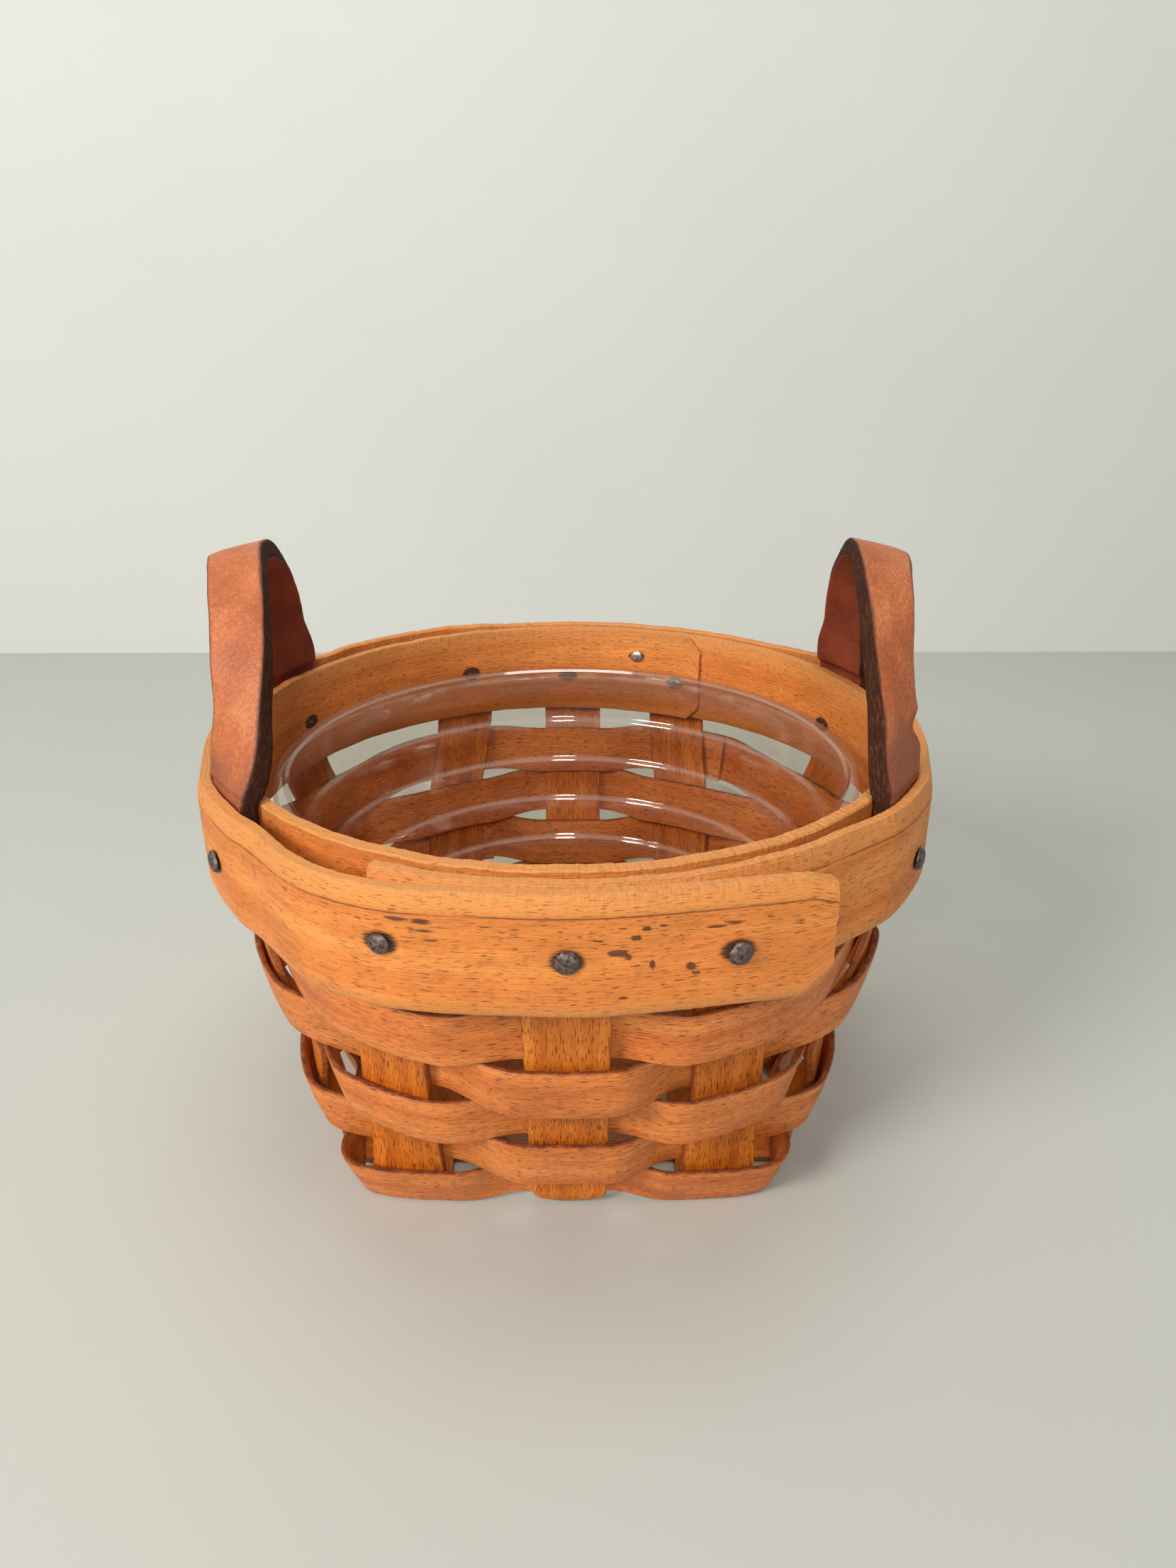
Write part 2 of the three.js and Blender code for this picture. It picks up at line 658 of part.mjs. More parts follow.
function earLoop({ front, back, waist, lean, twist }) {
  const frame = earFrame(front, back);
  const turnAt = (angle, radial) => {
    const across = tangentOf(angle);
    if (across.dot(radial) < 0) across.negate();
    return Math.atan2(across.dot(radial), across.dot(frame.inward));
  };
  const toBack = frame.toFront.clone().negate();
  const frontTurn = turnAt(front, frame.toFront);
  const backTurn = turnAt(back, toBack);
  const outward = frame.inward.clone().negate();
  const foot = radians(footTurn);
  const sections = [];
  for (let i = 0; i <= earFacets; i += 1) {
    const turn = foot + (Math.PI - 2 * foot) * i / earFacets;
    const inFront = turn < Math.PI / 2;
    const level = Math.cos(turn);
    const share = Math.abs(level) ** (inFront ? twist : backTwist);
    const centre = frame.centre.clone().addScaledVector(frame.toFront, frame.reach * level);
    centre.z += earHeight * Math.sin(turn) ** earPoint;
    const bend = (inFront ? waist : backWaist) * Math.abs(Math.sin(2 * turn));
    centre.addScaledVector(frame.inward, bend + lean * Math.sin(turn) ** 2);
    const rise = earHeight * earPoint * Math.sin(turn) ** (earPoint - 1) * level;
    const along = up.clone().multiplyScalar(rise).addScaledVector(toBack, frame.reach * Math.sin(turn)).normalize();
    const radial = new THREE.Vector3().crossVectors(along, frame.inward);
    if (radial.z < 0) radial.negate();
    radial.lerp(inFront ? frame.toFront : toBack, share).normalize();
    const endTurn = inFront ? frontTurn : backTurn;
    const tilt = radians(earTilt) + (endTurn - radians(earTilt)) * share;
    const across = frame.inward.clone().multiplyScalar(Math.cos(tilt));
    across.addScaledVector(radial, Math.sin(tilt));
    const normal = new THREE.Vector3().crossVectors(across, along).normalize();
    const footShare = smooth((Math.abs(level) - 0.8) / 0.2);
    const width = strapWidth + (tabWidth - strapWidth) * footShare;
    const thickness = strapThickness + (strapFootThickness - strapThickness) * footShare;
    sections.push(strapSection(centre, across, normal, width, thickness));
  }
  [sections[0], sections[earFacets]].forEach((section) => section.forEach((point) => {
    const aside = point.clone().sub(frame.centre).dot(outward);
    const clearOut = aside * Math.tan(radians(earSwingOut));
    const clearIn = -aside * Math.tan(radians(earSwingIn));
    point.z = rimTop + footGap + Math.max(clearOut, clearIn);
  }));
  return loft(sections);
}

// The leather that is tucked into the rim, curved with it
function earTab(angle, frontLeg) {
  const radius = tabRadius(frontLeg);
  const halfTurn = degrees(tabWidth / 2 / radius);
  const low = rimTop - tabDepth;
  const high = rimTop - 0.1;
  const inner = radius - tabThickness / 2;
  const outer = radius + tabThickness / 2;
  const sections = [];
  for (let i = 0; i <= tabFacets; i += 1) {
    const turn = angle + halfTurn * (2 * i / tabFacets - 1);
    const corners = [[inner, low], [outer, low], [outer, high], [inner, high]];
    sections.push(corners.map(([r, z]) => polar(turn, r, z)));
  }
  return loft(sections);
}

// A tack driven from outside: domed head, thin shank and a tip just through the inner hoop
function tack(length) {
  const head = [0, Math.PI / 4, Math.PI / 2].map((turn) => {
    const height = tackHeadHeight * (0.35 + 0.65 * Math.cos(turn));
    return new THREE.Vector2(tackHeadRadius * Math.sin(turn), height);
  });
  const profile = [
    ...head,
    new THREE.Vector2(tackHeadRadius * 0.96, 0),
    new THREE.Vector2(tackShankRadius, 0),
    new THREE.Vector2(tackShankRadius, -length + 1.2),
    new THREE.Vector2(0, -length),
  ];
  return facingOut(mergeVertices(stripped(new THREE.LatheGeometry(profile, 10)), 1e-4));
}

function stripped(geometry) {
  geometry.deleteAttribute('normal');
  geometry.deleteAttribute('uv');
  return geometry;
}

// Seats a tack or its hole along a line that points to the basket's middle
function aim(object, angle, radius, drop, inwards = true) {
  object.position.copy(polar(angle, radius, rimTop - drop));
  const direction = polar(angle, inwards ? 1 : -1, 0);
  object.quaternion.setFromUnitVectors(new THREE.Vector3(0, 1, 0), direction);
}

// Tacks by their angle round the rim and how far below its top they sit
const tacks = [
  { name: 'tack_front_left', angle: splintTopAngle(9) + 3.35, drop: 9.4 },
  { name: 'tack_front_middle', angle: splintTopAngle(10) + 0.2, drop: 11.2 },
  { name: 'tack_front_right', angle: splintTopAngle(11) - 3.55, drop: 11.4 },
  { name: 'tack_right_front_leg', angle: frontLegRight + 1.4, drop: 13.5 },
  { name: 'tack_right_middle', angle: splintTopAngle(1), drop: 12.0 },
  { name: 'tack_right_back_leg', angle: backLegRight - 1.6, drop: 12.5 },
  { name: 'tack_back_right', angle: splintTopAngle(3) - 1.2, drop: 12.8 },
  { name: 'tack_back_middle', angle: splintTopAngle(4) + 1.2, drop: 12.8 },
  { name: 'tack_back_left', angle: splintTopAngle(5) - 0.5, drop: 10.7 },
  { name: 'tack_left_back_leg', angle: backLegLeft + 1.4, drop: 11.2 },
  { name: 'tack_left_middle', angle: splintTopAngle(7), drop: 12.0 },
  { name: 'tack_left_front_leg', angle: frontLegLeft + 0.6, drop: 12.0 },
];
const nail = { name: 'nail_inside_back', angle: splintTopAngle(3) + 8.4, drop: 6.6 };

function splintTopAngle(upright) {
  return degrees(uprightAngle(upright, hoopBottom));
}

// Drills a body of the rim for the tacks and the nail
function drilled(geometry) {
  let solid = solidOf(geometry);
  [...tacks, nail].forEach(({ angle, drop }) => {
    const drill = new THREE.CylinderGeometry(tackHoleRadius, tackHoleRadius, tackHoleLength, 6);
    const hole = new THREE.Mesh(drill);
    aim(hole, angle, rimHalfWidth, drop);
    hole.updateMatrix();
    solid = solid.subtract(solidOf(hole.geometry.applyMatrix4(hole.matrix)));
  });
  return geometryOf(solid);
}

// The outside of the rim where a tack head lies: the hoop's over end where it laps
function rimFace(angle) {
  const turned = outerLapStart + THREE.MathUtils.euclideanModulo(angle - outerLapStart, 360);
  const over = turned + 360 < outerLapEnd + 360;
  return outerHoopRun(over ? turned + 360 : turned) + hoopThickness;
}

function innerFace(angle) {
  return innerHoopFace(innerLapStart + THREE.MathUtils.euclideanModulo(angle - innerLapStart, 360));
}

// Clear of the face all over a head's width
function headSeat(angle) {
  const reach = tackHeadRadius * 1.4;
  return Math.max(rimFace(angle - reach), rimFace(angle), rimFace(angle + reach)) + tackSeat;
}

// The liner: a stepped clear cup with a rolled lip, standing on the plaited floor
function liner() {
  const floor = 2 * splintThickness + plaitGap + linerSeat;
  const lipBottom = linerLipTop - linerLipDepth;
  const wallBottom = floor + linerFloorEdge * 0.7;
  const outside = [[0, floor], [linerFloorRadius - linerFloorEdge, floor], [linerFloorRadius, wallBottom]];
  const stepHeight = (lipBottom - wallBottom) / (linerSteps + 1);
  const topRadius = linerLipRadius - linerLipWidth;
  const slope = (topRadius - linerFloorRadius - linerSteps * linerStepOut) / (linerSteps + 1);
  let radius = linerFloorRadius;
  for (let i = 1; i <= linerSteps; i += 1) {
    radius += slope;
    const z = wallBottom + stepHeight * (i + linerStepShift);
    outside.push([radius, z - linerStepDrop], [radius + linerStepOut, z]);
    radius += linerStepOut;
  }
  const inside = outside.slice(1).reverse().map(([r, z]) => [r - linerWall, z + linerWall * 0.4]);
  const lip = [
    [topRadius, lipBottom],
    [linerLipRadius, lipBottom + 0.8],
    [linerLipRadius, linerLipTop - 0.9],
    [linerLipRadius - 0.9, linerLipTop],
    [topRadius - 0.4, linerLipTop],
    [topRadius - 1.4, linerLipTop - 1.2],
  ];
  const bottom = [0, floor + linerWall];
  inside[inside.length - 1] = [linerFloorRadius - linerFloorEdge - 1, floor + linerWall];
  const profile = [...outside, ...lip, ...inside, bottom].map(([r, z]) => new THREE.Vector2(r, z));
  const turned = stripped(new THREE.LatheGeometry(profile, linerFacets));
  turned.rotateX(Math.PI / 2);
  return facingOut(mergeVertices(turned, 1e-4));
}

// Assembly
const frontBack = [
  ['splint_front_back_left', 9, 5, [true, false, true]],
  ['splint_front_back_middle', 10, 4, [false, true, false]],
  ['splint_front_back_right', 11, 3, [true, false, true]],
];
frontBack.forEach(([name, start, end, overs]) => {
  const splint = wallSplint(start, end, leftRightPlaces, overs);
  place(name, drilled(splint), splintWood);
});
const leftRight = [
  ['splint_left_right_front', 8, 0, [false, true, false]],
  ['splint_left_right_middle', 7, 1, [true, false, true]],
  ['splint_left_right_back', 6, 2, [false, true, false]],
];
leftRight.forEach(([name, start, end, overs]) => {
  const splint = wallSplint(start, end, frontBackPlaces, overs);
  place(name, drilled(splint), splintWood);
});

const lapUprights = [3, 4, 5, 6, 3];
rows.forEach((row, i) => place(`weaver_row_${row.number}`, weaver(row, lapUprights[i]), weaverWood));

place('inner_hoop', drilled(innerHoop()), hoopWood);
place('outer_hoop', drilled(outerHoop()), hoopWood);

const ears = [
  {
    side: 'left',
    front: frontLegLeft,
    back: backLegLeft,
    waist: frontWaistLeft,
    lean: earLeanLeft,
    twist: frontTwistLeft,
  },
  {
    side: 'right',
    front: frontLegRight,
    back: backLegRight,
    waist: frontWaistRight,
    lean: earLeanRight,
    twist: frontTwistRight,
  },
];
ears.forEach((ear) => {
  const { side, front, back } = ear;
  place(`ear_${side}_loop`, earLoop(ear), leather);
  place(`ear_${side}_front_tab`, drilled(earTab(front, true)), leather);
  place(`ear_${side}_back_tab`, drilled(earTab(back, false)), leather);
});

tacks.forEach(({ name, angle, drop }) => {
  const face = headSeat(angle);
  const length = face - innerFace(angle) + tackTip;
  aim(place(name, tack(length), iron), angle, face, drop);
});
const nailSeat = innerFace(nail.angle) - tackSeat;
const nailLength = outerHoopFace(nail.angle) + hoopThickness - nailSeat - tackSeat;
aim(place(nail.name, tack(nailLength), steel), nail.angle, nailSeat, nail.drop, false);

place('liner', liner(), clearPlastic);

export default basket;
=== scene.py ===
import math
import random

import bpy
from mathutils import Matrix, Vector, noise


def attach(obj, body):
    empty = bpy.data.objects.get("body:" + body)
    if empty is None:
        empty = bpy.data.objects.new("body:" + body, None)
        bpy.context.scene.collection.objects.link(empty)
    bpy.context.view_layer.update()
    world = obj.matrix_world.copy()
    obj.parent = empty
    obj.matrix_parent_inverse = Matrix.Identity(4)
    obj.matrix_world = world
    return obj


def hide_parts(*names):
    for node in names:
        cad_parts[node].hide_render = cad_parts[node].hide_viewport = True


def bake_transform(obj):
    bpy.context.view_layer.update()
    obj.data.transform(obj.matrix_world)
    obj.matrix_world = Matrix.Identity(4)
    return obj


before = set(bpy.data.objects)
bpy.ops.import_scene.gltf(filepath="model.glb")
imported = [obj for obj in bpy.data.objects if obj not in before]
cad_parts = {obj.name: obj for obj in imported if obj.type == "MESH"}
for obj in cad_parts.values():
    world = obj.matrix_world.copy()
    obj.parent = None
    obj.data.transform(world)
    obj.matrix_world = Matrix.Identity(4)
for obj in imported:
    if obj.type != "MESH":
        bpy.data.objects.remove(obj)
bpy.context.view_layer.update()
print("frame loaded")

mm = 0.001  # sizes are in millimetres, the scene is in metres

# Sizes of the wall, as the basket is woven
wall = {
    "floorHalfWidth": 44.0, "rimHalfWidth": 70.2, "flareCurve": 1.27,
    "floorCorner": 0.02, "rimCorner": 0.5, "cornerCurve": 2.6, "sideBow": 0.03,
    "hoopBottom": 65.8, "rimTop": 88.0,
}
splints = {
    "width": 15.0, "thickness": 1.5, "top": 84.0, "foldHeight": 2.5, "foldReach": 1.3,
    "plaitGap": 0.35, "plaitFlat": 0.6, "driftStart": 40.0,
    "frontBack": (-31.5, 0.5, 30.0), "leftRight": (-28.5, 0.0, 28.5),
    "frontBackRim": (-28.5, 0.5, 28.5), "leftRightRim": (-23.0, 0.0, 28.5),
    "rounding": 0.32, "columns": 8, "stations": 300, "wavyEdge": 0.018, "uneven": 0.10,
}
weavers = {
    "height": 11.7, "thickness": 1.3, "gap": 0.3, "clearance": 0.45, "lowestWave": 2.95, "highestWave": 2.45,
    "rounding": 0.35, "columns": 7, "stations": 520, "length": 400, "roughEdge": 0.16, "fineEdge": 0.07,
    "cup": 0.22, "uneven": 0.12, "plaitRise": 0.3,
    "bottomEdgeWave": 0.9, "flat": 0.33, "lean": 0.6, "count": 5, "lowestBottom": 0.4,
    "lap": math.radians(20), "ramp": math.radians(10), "lapClearance": 0.3, "lapUprights": (3, 4, 5, 6, 3),
}


def between(value, low, high):
    return max(low, min(high, value))


def smooth(t):
    t = between(t, 0.0, 1.0)
    return t * t * (3 - 2 * t)


def mixed(a, b, t):
    return a + (b - a) * t


def ruffle(x, y=0.0, z=0.0):  # even noise from -1 to 1
    return noise.noise(Vector((x, y, z)))


# The wall's middle surface: square at the floor, round at the rim
def halfWidth(z):
    t = between(z / wall["hoopBottom"], 0, 1)
    return mixed(wall["floorHalfWidth"], wall["rimHalfWidth"], 1 - (1 - t) ** wall["flareCurve"])


def planRadius(angle, z):
    t = between(z / wall["hoopBottom"], 0, 1)
    power = mixed(wall["floorCorner"], wall["rimCorner"], 1 - (1 - t) ** wall["cornerCurve"])
    total = abs(math.cos(angle)) ** (1 / power) + abs(math.sin(angle)) ** (1 / power)
    bow = 1 + wall["sideBow"] * (1 - t) ** 1.5 * math.cos(2 * angle) ** 2
    return halfWidth(z) * bow / total ** power


def sideAngle(side, across, z):
    turn = 0.0
    for _ in range(12):
        turn = math.asin(across / planRadius(turn, z))
    return side * math.pi / 2 + turn


def wallPoint(angle, plan, outwards, z):
    ahead, behind = angle + 0.02, angle - 0.02
    along = Vector((math.cos(ahead), math.sin(ahead))) * planRadius(ahead, plan)
    along -= Vector((math.cos(behind), math.sin(behind))) * planRadius(behind, plan)
    along.normalize()
    radius = planRadius(angle, plan)
    x = radius * math.cos(angle) + along.y * outwards
    y = radius * math.sin(angle) - along.x * outwards
    return Vector((x, y, z))


def turnedBy(point, angle):
    c, s = math.cos(angle), math.sin(angle)
    return Vector((point.x * c - point.y * s, point.x * s + point.y * c, point.z))


def depthAt(side, across, plan, outwards):
    place = across
    for _ in range(6):
        point = turnedBy(wallPoint(sideAngle(side, place, plan), plan, outwards, 0), -side * math.pi / 2)
        place += across - point.y
    return point.x


def polar(degrees, radius, z):
    return Vector((radius * math.cos(math.radians(degrees)), radius * math.sin(math.radians(degrees)), z))


# Rows of weavers, from the floor up
rows = []
for number in range(weavers["count"]):
    bottom = weavers["lowestBottom"] + number * (weavers["height"] + weavers["gap"])
    middle = bottom + weavers["height"] / 2
    wave = mixed(weavers["lowestWave"], weavers["highestWave"], number / (weavers["count"] - 1))
    rows.append({
        "number": number + 1, "bottom": bottom, "top": bottom + weavers["height"], "middle": middle,
        "bottomWave": weavers["bottomEdgeWave"] if number == 0 else wave, "topWave": wave,
        "lean": weavers["lean"] * (halfWidth(middle + 1) - halfWidth(middle - 1)) / 2,
        "lift": splints["thickness"] + weavers["plaitRise"] - weavers["lowestBottom"] if number == 0 else 0.0,
    })


def acrossOf(upright, z):  # three uprights to a side: right, back, left and front
    side = upright // 3
    run = "leftRight" if side % 2 == 0 else "frontBack"
    low, high = splints[run], splints[run + "Rim"]
    facing = side in (1, 2)  # these sides count the other way
    i = 2 - upright % 3 if facing else upright % 3
    drift = smooth((z - splints["driftStart"]) / (wall["hoopBottom"] - splints["driftStart"]))
    return -mixed(low[i], high[i], drift) if facing else mixed(low[i], high[i], drift)


def outside(row, upright):
    return (row["number"] % 2 == 1) == (upright % 2 == 1)


def uprightAngle(upright, z):
    return sideAngle(upright // 3, acrossOf(upright, z), z)


def waveKnots(row):
    knots = []
    for upright in range(12):
        knots.append((uprightAngle(upright, row["middle"]), 1 if outside(row, upright) else -1))
    return knots + [(knots[0][0] + 2 * math.pi, knots[0][1])]


def waveAt(row, knots, angle):
    onward = knots[0][0] + (angle - knots[0][0]) % (2 * math.pi)
    i = 0
    while i < 11 and knots[i + 1][0] < onward:
        i += 1
    span = knots[i + 1][0] - knots[i][0]
    beside = math.asin((splints["width"] / 2 + weavers["clearance"]) / planRadius(angle, row["middle"]))
    flat = min(weavers["flat"], beside / span)
    along = (onward - knots[i][0]) / span
    return mixed(knots[i][1], knots[i + 1][1], smooth((along - flat) / (1 - 2 * flat)))


def depthThrough(knots, z):  # a smooth line through (height, depth, slope) knots
    if z >= knots[-1][0]:
        return knots[-1][1]
    if z <= knots[0][0]:
        return knots[0][1] + knots[0][2] * (z - knots[0][0])
    i = 0
    while knots[i + 1][0] < z:
        i += 1
    span = knots[i + 1][0] - knots[i][0]
    t = (z - knots[i][0]) / span
    start = (1 + 2 * t) * knots[i][1] + t * span * knots[i][2]
    end = (3 - 2 * t) * knots[i + 1][1] - (1 - t) * span * knots[i + 1][2]
    return start * (1 - t) ** 2 + end * t ** 2


def uprightKnots(upright, offset):
    side = upright // 3
    rest = splints["thickness"] / 2 + weavers["thickness"] / 2 + weavers["clearance"]
    knots = []
    for row in rows:
        sign = 1 if outside(row, upright) else -1
        across = acrossOf(upright, row["middle"]) + offset
        outwards = sign * ((row["bottomWave"] + row["topWave"]) / 2 - rest)
        lean = row["lean"] + sign * (row["topWave"] - row["bottomWave"]) / weavers["height"]
        depth = depthAt(side, across, row["middle"], outwards)
        knots.append((row["middle"], depth, depthAt(side, across, row["middle"], outwards + lean) - depth))
    top = acrossOf(upright, wall["hoopBottom"]) + offset
    return knots + [(wall["hoopBottom"], depthAt(side, top, wall["hoopBottom"], 0), 0.0)]


def uprightStations(upright, step=1.0):
    half = splints["width"] / 2
    edges = [uprightKnots(upright, offset) for offset in (-half, 0.0, half)]
    side = upright // 3
    stations = []
    count = int((splints["top"] - splints["foldHeight"]) / step)
    for i in range(count + 1):
        z = mixed(splints["top"], splints["foldHeight"] + 0.4, i / count)
        low, mid, high = (depthThrough(knots, z) for knots in edges)
        slope = (high - low) / splints["width"]
        reach = 1 / math.hypot(1, slope)  # the splint keeps its width where the wall turns
        across = acrossOf(upright, z)
        points = []
        for share in (-reach, 0.0, reach):
            depth = mid + share * (high - low) / 2 + share * share * ((high + low) / 2 - mid)
            points.append(turnedBy(Vector((depth, across + share * half, z)), side * math.pi / 2))
        stations.append(points)
    return stations


# Shapes are swept bands: a grid is bent round a closed outline and along a run of stations
def bandOutline(width, thickness, rounding, across, around=3):
    points = []  # (across, through, edge), going round once
    halfWide, halfThick = width / 2, thickness / 2
    corners = [(1, 1, 0), (-1, 1, 90), (-1, -1, 180), (1, -1, 270)]
    for n, (sx, sy, start) in enumerate(corners):
        for k in range(around + 1):
            turn = math.radians(start + 90 * k / around)
            a = sx * (halfWide - rounding) + rounding * math.cos(turn)
            b = sy * (halfThick - rounding) + rounding * math.sin(turn)
            points.append((a, b, 1.0 - abs(sy * (k if n % 2 == 0 else around - k) / around)))
        if n % 2 == 0:
            for k in range(1, across):
                t = k / across
                points.append((sx * (halfWide - rounding) * (1 - 2 * t), sy * halfThick, 0.0))
    return points


weld, crease = 1e-6, math.radians(40)


def sweptBand(name, outline, count, placeAt, length, marks=None):
    bpy.ops.object.select_all(action="DESELECT")
    bpy.ops.mesh.primitive_grid_add(
        x_subdivisions=count, y_subdivisions=len(outline), size=1, location=(0, 0, 0),
    )
    band = bpy.context.object
    band.name = name
    mesh = band.data
    mesh.name = name
    around = [0.0]
    for j in range(len(outline)):
        a, b = outline[j], outline[(j + 1) % len(outline)]
        around.append(around[-1] + math.hypot(a[0] - b[0], a[1] - b[1]))
    for key in ("edge", "side", "across", "through"):
        mesh.attributes.new(key, "FLOAT", "POINT")
    edge, side, across, through = (mesh.attributes[key] for key in ("edge", "side", "across", "through"))
    places = []
    for vertex in mesh.vertices:
        i = round((vertex.co.x + 0.5) * count)
        j = round((vertex.co.y + 0.5) * len(outline))
        places.append((i, j))
        a, b, mark = outline[j % len(outline)]
        edge.data[vertex.index].value = mark
        side.data[vertex.index].value = 1.0 if b > 0 else 0.0
        across.data[vertex.index].value = a * mm
        through.data[vertex.index].value = b * mm
        vertex.co = placeAt(i, a, b) * mm
    for key, values in (marks or {}).items():
        layer = mesh.attributes.new(key, "FLOAT", "POINT")
        for index, (i, j) in enumerate(places):
            a, b, _ = outline[j % len(outline)]
            layer.data[index].value = values(i, a, b)
    uv = mesh.uv_layers[0]
    uv.name = "strip"
    shift = (random.uniform(0, 1), random.uniform(0, 1))
    for loop in mesh.loops:
        i, j = places[loop.vertex_index]
        uv.data[loop.index].uv = (shift[0] + i / count * length * mm, shift[1] + around[j] * mm)
    bpy.ops.object.mode_set(mode="EDIT")
    bpy.ops.mesh.select_all(action="SELECT")
    bpy.ops.mesh.remove_doubles(threshold=weld)
    bpy.ops.mesh.select_all(action="SELECT")
    bpy.ops.mesh.fill_holes(sides=0)
    bpy.ops.mesh.select_all(action="SELECT")
    bpy.ops.mesh.normals_make_consistent(inside=False)
    bpy.ops.object.mode_set(mode="OBJECT")
    bpy.ops.object.shade_smooth_by_angle(angle=crease)
    uv = mesh.uv_layers[0]
    through, across = mesh.attributes["through"], mesh.attributes["across"]
    for polygon in mesh.polygons:
        if len(polygon.vertices) > 4:  # a cut end, with its own piece of the pattern
            for loop in polygon.loop_indices:
                point = mesh.loops[loop].vertex_index
                uv.data[loop].uv = (shift[0] + through.data[point].value, shift[1] + across.data[point].value)
    return band


def framesOf(stations):
    frames = []
    for i, (left, centre, right) in enumerate(stations):
        before = stations[max(i - 1, 0)][1]
        after = stations[min(i + 1, len(stations) - 1)][1]
        along = (after - before).normalized()
        normal = along.cross(right - left).normalized()
        frames.append((left, centre, right, normal))
    return frames


def evened(stations, count):  # the same run at even distances along its middle
    lengths = [0.0]
    for i in range(1, len(stations)):
        lengths.append(lengths[-1] + (stations[i][1] - stations[i - 1][1]).length)
    result = []
    i = 0
    for n in range(count + 1):
        s = lengths[-1] * n / count
        while i < len(lengths) - 2 and lengths[i + 1] < s:
            i += 1
        t = (s - lengths[i]) / max(lengths[i + 1] - lengths[i], 1e-9)
        result.append([a.lerp(b, between(t, 0, 1)) for a, b in zip(stations[i], stations[i + 1])])
    return result, lengths[-1]


def softened(stations, rounds=2):  # takes the corners off where two bends meet
    for _ in range(rounds):
        inner = []
        for three in zip(stations, stations[1:], stations[2:]):
            inner.append([(a + b * 2 + c) / 4 for a, b, c in zip(*three)])
        stations = [stations[0]] + inner + [stations[-1]]
    return stations


def floorStations(start, end, crossings, overs):  # under the floor, over and under the crossing splints
    lower = splints["thickness"] / 2
    upper = lower + splints["thickness"] + splints["plaitGap"]
    along = end - start
    length = along.length
    along = along / length
    aside = Vector((0, 0, 1)).cross(along)
    flat = splints["width"] / 2 + splints["plaitFlat"]
    knots = [(splints["foldReach"], lower)]
    for distance, over in zip(crossings, overs):
        level = upper if over else lower
        knots += [(distance - flat, level), (distance + flat, level)]
    knots.append((length - splints["foldReach"], lower))
    stations = []
    for (s0, level0), (s1, level1) in zip(knots, knots[1:]):
        for k in range(8):
            t = k / 8
            centre = start + along * mixed(s0, s1, t)
            centre.z = mixed(level0, level1, smooth(t))
            stations.append([centre + aside * (splints["width"] / 2 * share) for share in (-1, 0, 1)])
    last = start + along * knots[-1][0]
    last.z = lower
    stations.append([last + aside * (splints["width"] / 2 * share) for share in (-1, 0, 1)])
    return stations


def kneeOf(stations):  # where the wall's line meets the floor's
    above, last = stations[-2], stations[-1]
    points = []
    for high, low in zip(above, last):
        drop = (low.z - splints["thickness"] / 2) / (high.z - low.z)
        points.append(low + (low - high) * drop)
    return points


def foldBetween(wallEnd, corner, floorEnd):
    fold = []
    for t in (0.2, 0.4, 0.6, 0.8):
        fold.append([h.lerp(c, t).lerp(c.lerp(f, t), t) for h, c, f in zip(wallEnd, corner, floorEnd)])
    return fold


def wallSplint(name, first, second, crossings, overs):
    start, end = uprightStations(first), uprightStations(second)
    corner, endCorner = kneeOf(start), kneeOf(end)
    axis = 0 if first < 9 else 1  # left to right, or front to back
    distances = [abs(place - corner[1][axis]) for place in crossings]
    order = sorted(zip(distances, overs))
    floor = floorStations(corner[1], endCorner[1], [d for d, _ in order], [o for _, o in order])
    fold = foldBetween(start[-1], corner, floor[0])
    endFold = foldBetween(end[-1], endCorner, floor[-1][::-1])
    run = start + fold + floor + [station[::-1] for station in endFold[::-1] + end[::-1]]
    count = splints["stations"]
    stations, length = evened(softened(run), count)
    frames = framesOf(stations)
    outline = bandOutline(splints["width"], splints["thickness"], splints["rounding"], splints["columns"])
    seed = random.uniform(0, 100)

    def placeAt(i, a, b):
        left, centre, right, normal = frames[i]
        s = length * i / count
        wide = a * (1 + splints["wavyEdge"] * ruffle(s / 9, seed, 1 if a > 0 else 2))
        share = wide / (splints["width"] / 2)
        point = centre + (right - left) * (share / 2) + ((left + right) / 2 - centre) * share * share
        point += normal * (b * (1 + splints["uneven"] * ruffle(s / 14, seed + 7, a / 6)))
        return point

    return sweptBand(name, outline, count, placeAt, length)


